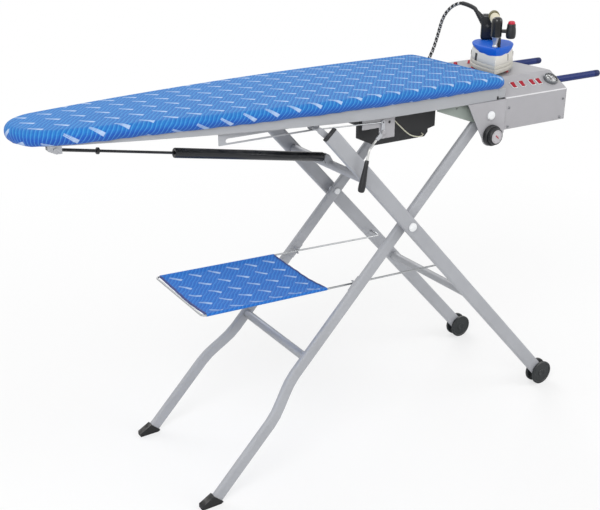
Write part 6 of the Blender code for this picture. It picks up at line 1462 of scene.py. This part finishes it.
def make_iron_handle():
    """Pillar, stems, button with its arm, cork grip with its rims, and the hose's relief."""
    pillar = moved(turned("iron_pillar", PILLAR_RINGS, 40), STEM_FRONT)
    on_iron(pillar, zinc_plate, "black_plastic")
    rib = softened(block("iron_pillar_rib", RIB_SIZE), RIB_EDGE, 3)
    on_iron(moved(rib, STEM_FRONT - RIB_BACK, RIB_ACROSS, PILLAR_BASE + RIB_RISE), black_moulding,
            "black_plastic")
    stem = moved(turned("iron_front_stem", STEM_RINGS), STEM_FRONT)
    on_iron(stem, black_gloss, "black_plastic", "iron_front_handle", smooth=60)
    arm = laid(turned("button_arm", ARM_RINGS, 24), (STEM_FRONT, 0, ARM_HEIGHT), (0, -1, 0))
    on_iron(arm, black_moulding, "black_plastic")
    housing = moved(turned("button_housing", BUTTON_HOUSING_RINGS), STEM_FRONT, BUTTON_ACROSS)
    on_iron(housing, black_moulding, "black_plastic", smooth=60)
    button = moved(turned("steam_button_cap", BUTTON_RINGS), STEM_FRONT, BUTTON_ACROSS)
    on_iron(button, button_red, "red_silicone", "steam_button", smooth=60, body="steam_button")

    low = shield_top(STEM_REAR - REAR_LENGTH / 2) + GAP
    rear = block("iron_rear_block", (REAR_LENGTH, REAR_WIDTH, REAR_TOP - low))
    softened(moved(rear, STEM_REAR, STEM_REAR_ACROSS, low), REAR_EDGE, 5)
    on_iron(rear, black_gloss, "black_plastic", "iron_rear_handle")
    relief = turned("hose_relief", relief_rings(), 32)
    fitted(relief, spot(*RELIEF_ROOT), RELIEF_WAY, black_moulding, "iron", "black_plastic")

    grip_place = (GRIP_START, 0, GRIP_HEIGHT)
    grip = laid(turned("cork_hand_grip", grip_rings()), grip_place, ALONG_X, ALONG_Y)
    on_iron(grip, cork_grain, "cork", "cork_grip", smooth=60)
    for label, low, high, wide in (("front", 0.0, FRONT_RIM, FRONT_RIM_RADIUS),
                                   ("rear", GRIP_LENGTH - REAR_RIM, GRIP_LENGTH, REAR_RIM_RADIUS)):
        rings = [(RIM_BORE, low), (wide - RIM_LIP, low), (wide, low + RIM_ROUND), (wide, high - RIM_ROUND),
                 (wide - RIM_ROUND, high), (RIM_BORE, high)]
        band = laid(turned("grip_rim_" + label, rings), grip_place, ALONG_X, ALONG_Y)
        on_iron(band, cork_rim, "cork")


# Under-frame: wheels, bars, caps on the pivots, gas spring and lever grip

CROSS_Z = 0.5966
WHEEL_X, WHEEL_Y, WHEEL_Z = 0.511, 0.179, 0.035
ROLLER_INNER = 0.0085
ROLLER_RINGS = (
    (0.0040, 0.0000), (0.0100, 0.0000), (0.0110, 0.0010), (0.0280, 0.0010), (0.0300, 0.0), (0.0335, 0.0),
    (0.0347, 0.0008), (0.0350, 0.0022), (0.0350, 0.0058), (0.0347, 0.0072), (0.0335, 0.0080),
    (0.0300, 0.0080), (0.0285, 0.0066), (0.0125, 0.0066), (0.0115, 0.0080), (0.0078, 0.0080),
    (0.0070, 0.0074), (POLE, 0.0072))
AXLE_RINGS = ((0.0039, -0.0090), (0.0039, 0.0090))


def make_wheels():
    """Black rollers either side of each leg's foot, with a tread and a hub."""
    for label, side in SIDES:
        parts = []
        for way in (1, -1):
            roller = turned("wheel_roller_" + label, ROLLER_RINGS, 64)
            place = spot(WHEEL_X, side * WHEEL_Y + way * ROLLER_INNER, WHEEL_Z)
            parts.append(laid(roller, place, (0, way, 0)))
        axle = laid(turned("wheel_axle", AXLE_RINGS, 24), spot(WHEEL_X, side * WHEEL_Y, WHEEL_Z), ALONG_Y)
        settled(joined(*parts, axle), wheel_black, "wheel_" + label, "black_plastic", "wheel_" + label)


BAR_RADIUS = 0.0110

# Cross bars: piece, solid, body, x, z and half length
BARS = (("footed_legs_bar", "b_crossbar", "frame_b", -0.2879, 0.29915, 0.1442),
        ("wheeled_legs_bar", "a_lower_crossbar", "frame_a", 0.2261, 0.3481, 0.1712))
PLUG_SIZE = (0.0128, 0.0372, 0.0034)
PLUG_EDGE = 0.0012
PLUG_Y = 0.1796
PLUG_REACH = 0.3602
LEG_RISE = math.radians(47.7)
CAP_RINGS = ((0.0112, 0), (0.0112, 0.0022), (0.0106, 0.0040), (0.0088, 0.0054), (0.0060, 0.0061),
             (POLE, 0.0063))

# Caps on the pivots: piece, x, z and how far out its foot lies
PIVOT_CAPS = (("cross_cap_", 0.0, CROSS_Z, 0.1868), ("board_cap_", 0.239, 0.8435, 0.1806))


def make_bars():
    """Round cross bars of the two pairs of legs."""
    for name, node, body, x, z, half in BARS:
        bar = turned(name, ((BAR_RADIUS, 0), (BAR_RADIUS, 2 * half)))
        fitted(bar, spot(x, -half, z), ALONG_Y, bar_paint, body, "silver_paint", node)


def make_leg_plugs():
    """Black plugs in the upper ends of the wheeled legs."""
    way = Vector((-math.cos(LEG_RISE), 0, math.sin(LEG_RISE)))
    for label, side in SIDES:
        plug = softened(block("leg_plug_" + label, PLUG_SIZE), PLUG_EDGE, 3)
        fitted(plug, spot(0, side * PLUG_Y, CROSS_Z) + way * PLUG_REACH, way, black_moulding, "frame_a",
               "black_plastic", front=ALONG_Y)


def make_pivot_caps():
    """Domed white caps over the bolts' heads."""
    for label, side in SIDES:
        for name, x, z, start in PIVOT_CAPS:
            fitted(turned(name + label, CAP_RINGS), spot(x, side * start, z), (0, side, 0), white_moulding,
                   "frame_b", "white_plastic", smooth=60)


SPRING_EYE = spot(-0.134, 0, 0.751)
SPRING_NOSE = spot(-0.810, 0, 0.874)
BARREL_RINGS = (
    (0.0050, 0.0070), (0.0060, 0.0092), (0.0108, 0.0100), (0.0117, 0.0112), (0.0117, 0.4120),
    (0.0112, 0.4142), (0.0098, 0.4150), (0.0080, 0.4150), (0.0060, 0.4135), (0.0042, 0.4135),
    (0.0042, 0.3930), (POLE, 0.3925))
ROD_RINGS = (
    (0.0030, 0.0070), (0.0036, 0.0090), (0.0036, 0.0890), (0.0034, 0.0900), (0.0070, 0.0902),
    (0.0075, 0.0910), (0.0075, 0.0952), (0.0068, 0.0960), (0.0032, 0.0962), (0.0031, 0.0970),
    (0.0031, 0.3298), (POLE, 0.3300))
EYE_RADIUS = 0.0062
EYE_WIRE = 0.0023
EYE_WIDTH_SHARE = 2.0


def make_spring():
    """The gas spring's barrel, thin rod with its sleeve and collar, and their eyes."""
    way = (SPRING_NOSE - SPRING_EYE).normalized()
    fitted(turned("spring_barrel", BARREL_RINGS, 64), SPRING_EYE, way, rod_black, "spring_cylinder",
           "black_plastic", "spring_cylinder", front=ALONG_Y)
    fitted(turned("spring_thin_rod", ROD_RINGS, 36), SPRING_NOSE, -way, rod_black, "spring_rod", "steel",
           "spring_rod", front=ALONG_Y)
    for name, place, body in (("spring_eye_low", SPRING_EYE, "spring_cylinder"),
                              ("spring_eye_nose", SPRING_NOSE, "spring_rod")):
        eye = hoop(name, EYE_RADIUS, EYE_WIRE, 40, 16)
        eye.data.transform(Matrix.Diagonal((1, 1, EYE_WIDTH_SHARE, 1)))
        fitted(eye, place, ALONG_Y, rod_black, body, "black_plastic", smooth=60)


LEVER_GRIP_PLACE = spot(-0.157, -0.2045, 0.797)
LEVER_GRIP_WAY = Vector((-0.21, 0, -1)).normalized()
LEVER_GRIP_RINGS = ((0.0040, 0.0003), (0.0050, 0.0020), (0.0052, 0.0160), (0.0062, 0.0300), (0.0078, 0.0480),
                    (0.0085, 0.0610), (0.0083, 0.0690), (0.0070, 0.0740), (0.0040, 0.0758), (POLE, 0.0762))


def make_lever_grip():
    """The release lever's drop-shaped grip."""
    grip = turned("lever_hand_grip", LEVER_GRIP_RINGS, 36)
    fitted(grip, LEVER_GRIP_PLACE, LEVER_GRIP_WAY, black_moulding, "lever", "black_plastic", "lever_grip",
           front=ALONG_Y)


make_studs()
make_rocker_frames()
make_gauge()
make_knob()
make_handles()
make_generator_fittings()
make_iron_body()
make_iron_handle()
make_wheels()
make_bars()
make_leg_plugs()
make_pivot_caps()
make_spring()
make_lever_grip()


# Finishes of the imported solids

SOLID_FINISHES = (
    (rail_paint, "suction_tray"),
    (panel_paint, "generator_cover generator_tray lever_bracket"),
    (bracket_paint, "board_bracket_near board_bracket_far"),
    (silver_paint, "guide_plate_near guide_plate_far b_leg_near b_leg_far b_crossbar a_leg_near a_leg_far"),
    (silver_paint, "a_upper_crossbar a_lower_crossbar"),
    (black_moulding, "fan_housing mains_inlet hose_gland gauge_body impeller control_knob lever_grip"),
    (beige_lead, "fan_lead"),
    (tin_plate, "boiler perforated_plate"),
    (zinc_plate, "nose_bracket lever_crank"),
    (wire_steel, "shelf_frame pull_rod"),
    (white_zinc, "lever_wire"),
    (white_moulding, "cross_bolt_near cross_bolt_far board_bolt_near board_bolt_far"),
    (foot_rubber, "b_foot_near b_foot_far"),
    (wheel_black, "wheel_near wheel_far"),
    (rod_black, "spring_cylinder spring_rod"),
    (rocker_red, "rocker_1 rocker_2 rocker_3 rocker_4"),
    (button_red, "steam_button"),
    (mark_grey, "gauge_needle"),
    (handle_blue, "handle_near handle_far"),
    (iron_white, "iron_sole iron_body"),
    (shield_blue, "heat_shield"),
    (black_gloss, "iron_front_handle iron_rear_handle"),
    (cork_grain, "cork_grip"),
    (felt_cloth, "felt_pad"),
    (cover_print, "board_cover shelf_cloth"),
    (hose_braid, "hose_coil hose_lead steam_hose"),
)
for finish, members in SOLID_FINISHES:
    for node in members.split():
        held = nodes[node].data.materials
        held.clear()
        held.append(finish)


# Room: the floor's and the surround's tones, and the lamps' names, places, aims, sizes and powers

FLOOR_SIZE = 80
FLOOR_TONES = ((0.85, 0.85, 0.85, 1), (0.88, 0.88, 0.88, 1))
FLOOR_NEAR, FLOOR_FAR = 0.6, 2.4
FLOOR_NEAR_WHITE = 0.62
WHITE = (1, 1, 1, 1)
WORLD_LEVEL = 0.62
LAMPS = (
    ("lamp_left", (-2.6, -2.2, 3.2), (0, 0, 0.6), 2.4, 90),
    ("lamp_right", (3.2, -2.4, 2.6), (0, 0, 0.6), 2.4, 45),
    ("lamp_back", (0.8, 3.4, 3.4), (0, 0, 0.8), 2.4, 50),
)


def make_floor():
    """A pale floor that grows whiter away from the table, for the camera alone."""
    clear_bench()
    bpy.ops.mesh.primitive_plane_add(size=FLOOR_SIZE)
    floor = bpy.context.object
    floor.name = "floor"
    material, s, skin, where = new_finish("floor_pale", FLOOR_TONES[0], 0.9)
    s.feed(skin.inputs["Base Color"], s.blend(s.noise(where, 0.6, 2.0), *FLOOR_TONES))
    away = s.add("ShaderNodeVectorMath", {0: where}, operation="LENGTH").outputs["Value"]
    lit = s.add("ShaderNodeEmission", {"Color": WHITE, "Strength": 1.0})
    seen = s.add("ShaderNodeLightPath").outputs["Is Camera Ray"]
    share = s.sum("MULTIPLY", seen, s.between(away, FLOOR_NEAR, FLOOR_FAR, FLOOR_NEAR_WHITE, 1.0))
    mixed = s.add("ShaderNodeMixShader", {0: share, 1: skin.outputs[0], 2: lit.outputs[0]})
    s.feed(material.node_tree.nodes["Material Output"].inputs["Surface"], mixed.outputs[0])
    floor.data.materials.append(material)


def make_surround():
    """A surround that is white where it is seen, directly or in gloss and glass, and lights less."""
    world = bpy.data.worlds.new("surround")
    bpy.context.scene.world = world
    world.use_nodes = True
    s = Shader(world.node_tree)
    sky = world.node_tree.nodes["Background"]
    rays = s.add("ShaderNodeLightPath").outputs
    seen = s.sum("MAXIMUM", s.sum("MAXIMUM", rays["Is Camera Ray"], rays["Is Glossy Ray"]),
                 rays["Is Transmission Ray"])
    s.feed(sky.inputs["Strength"], s.between(seen, 0, 1, WORLD_LEVEL, 1.0))
    sky.inputs["Color"].default_value = WHITE


def make_lamps():
    """Soft round lamps at the left, the right and the back."""
    for name, place, aim, size, power in LAMPS:
        lamp = bpy.data.lights.new(name, "AREA")
        lamp.shape = "DISK"
        lamp.size = size
        lamp.energy = power
        holder = bpy.data.objects.new(name, lamp)
        bpy.context.collection.objects.link(holder)
        holder.matrix_world = upright(Vector(place), Vector(place) - Vector(aim))


make_floor()
make_surround()
make_lamps()
bpy.context.scene.view_settings.view_transform = "Standard"
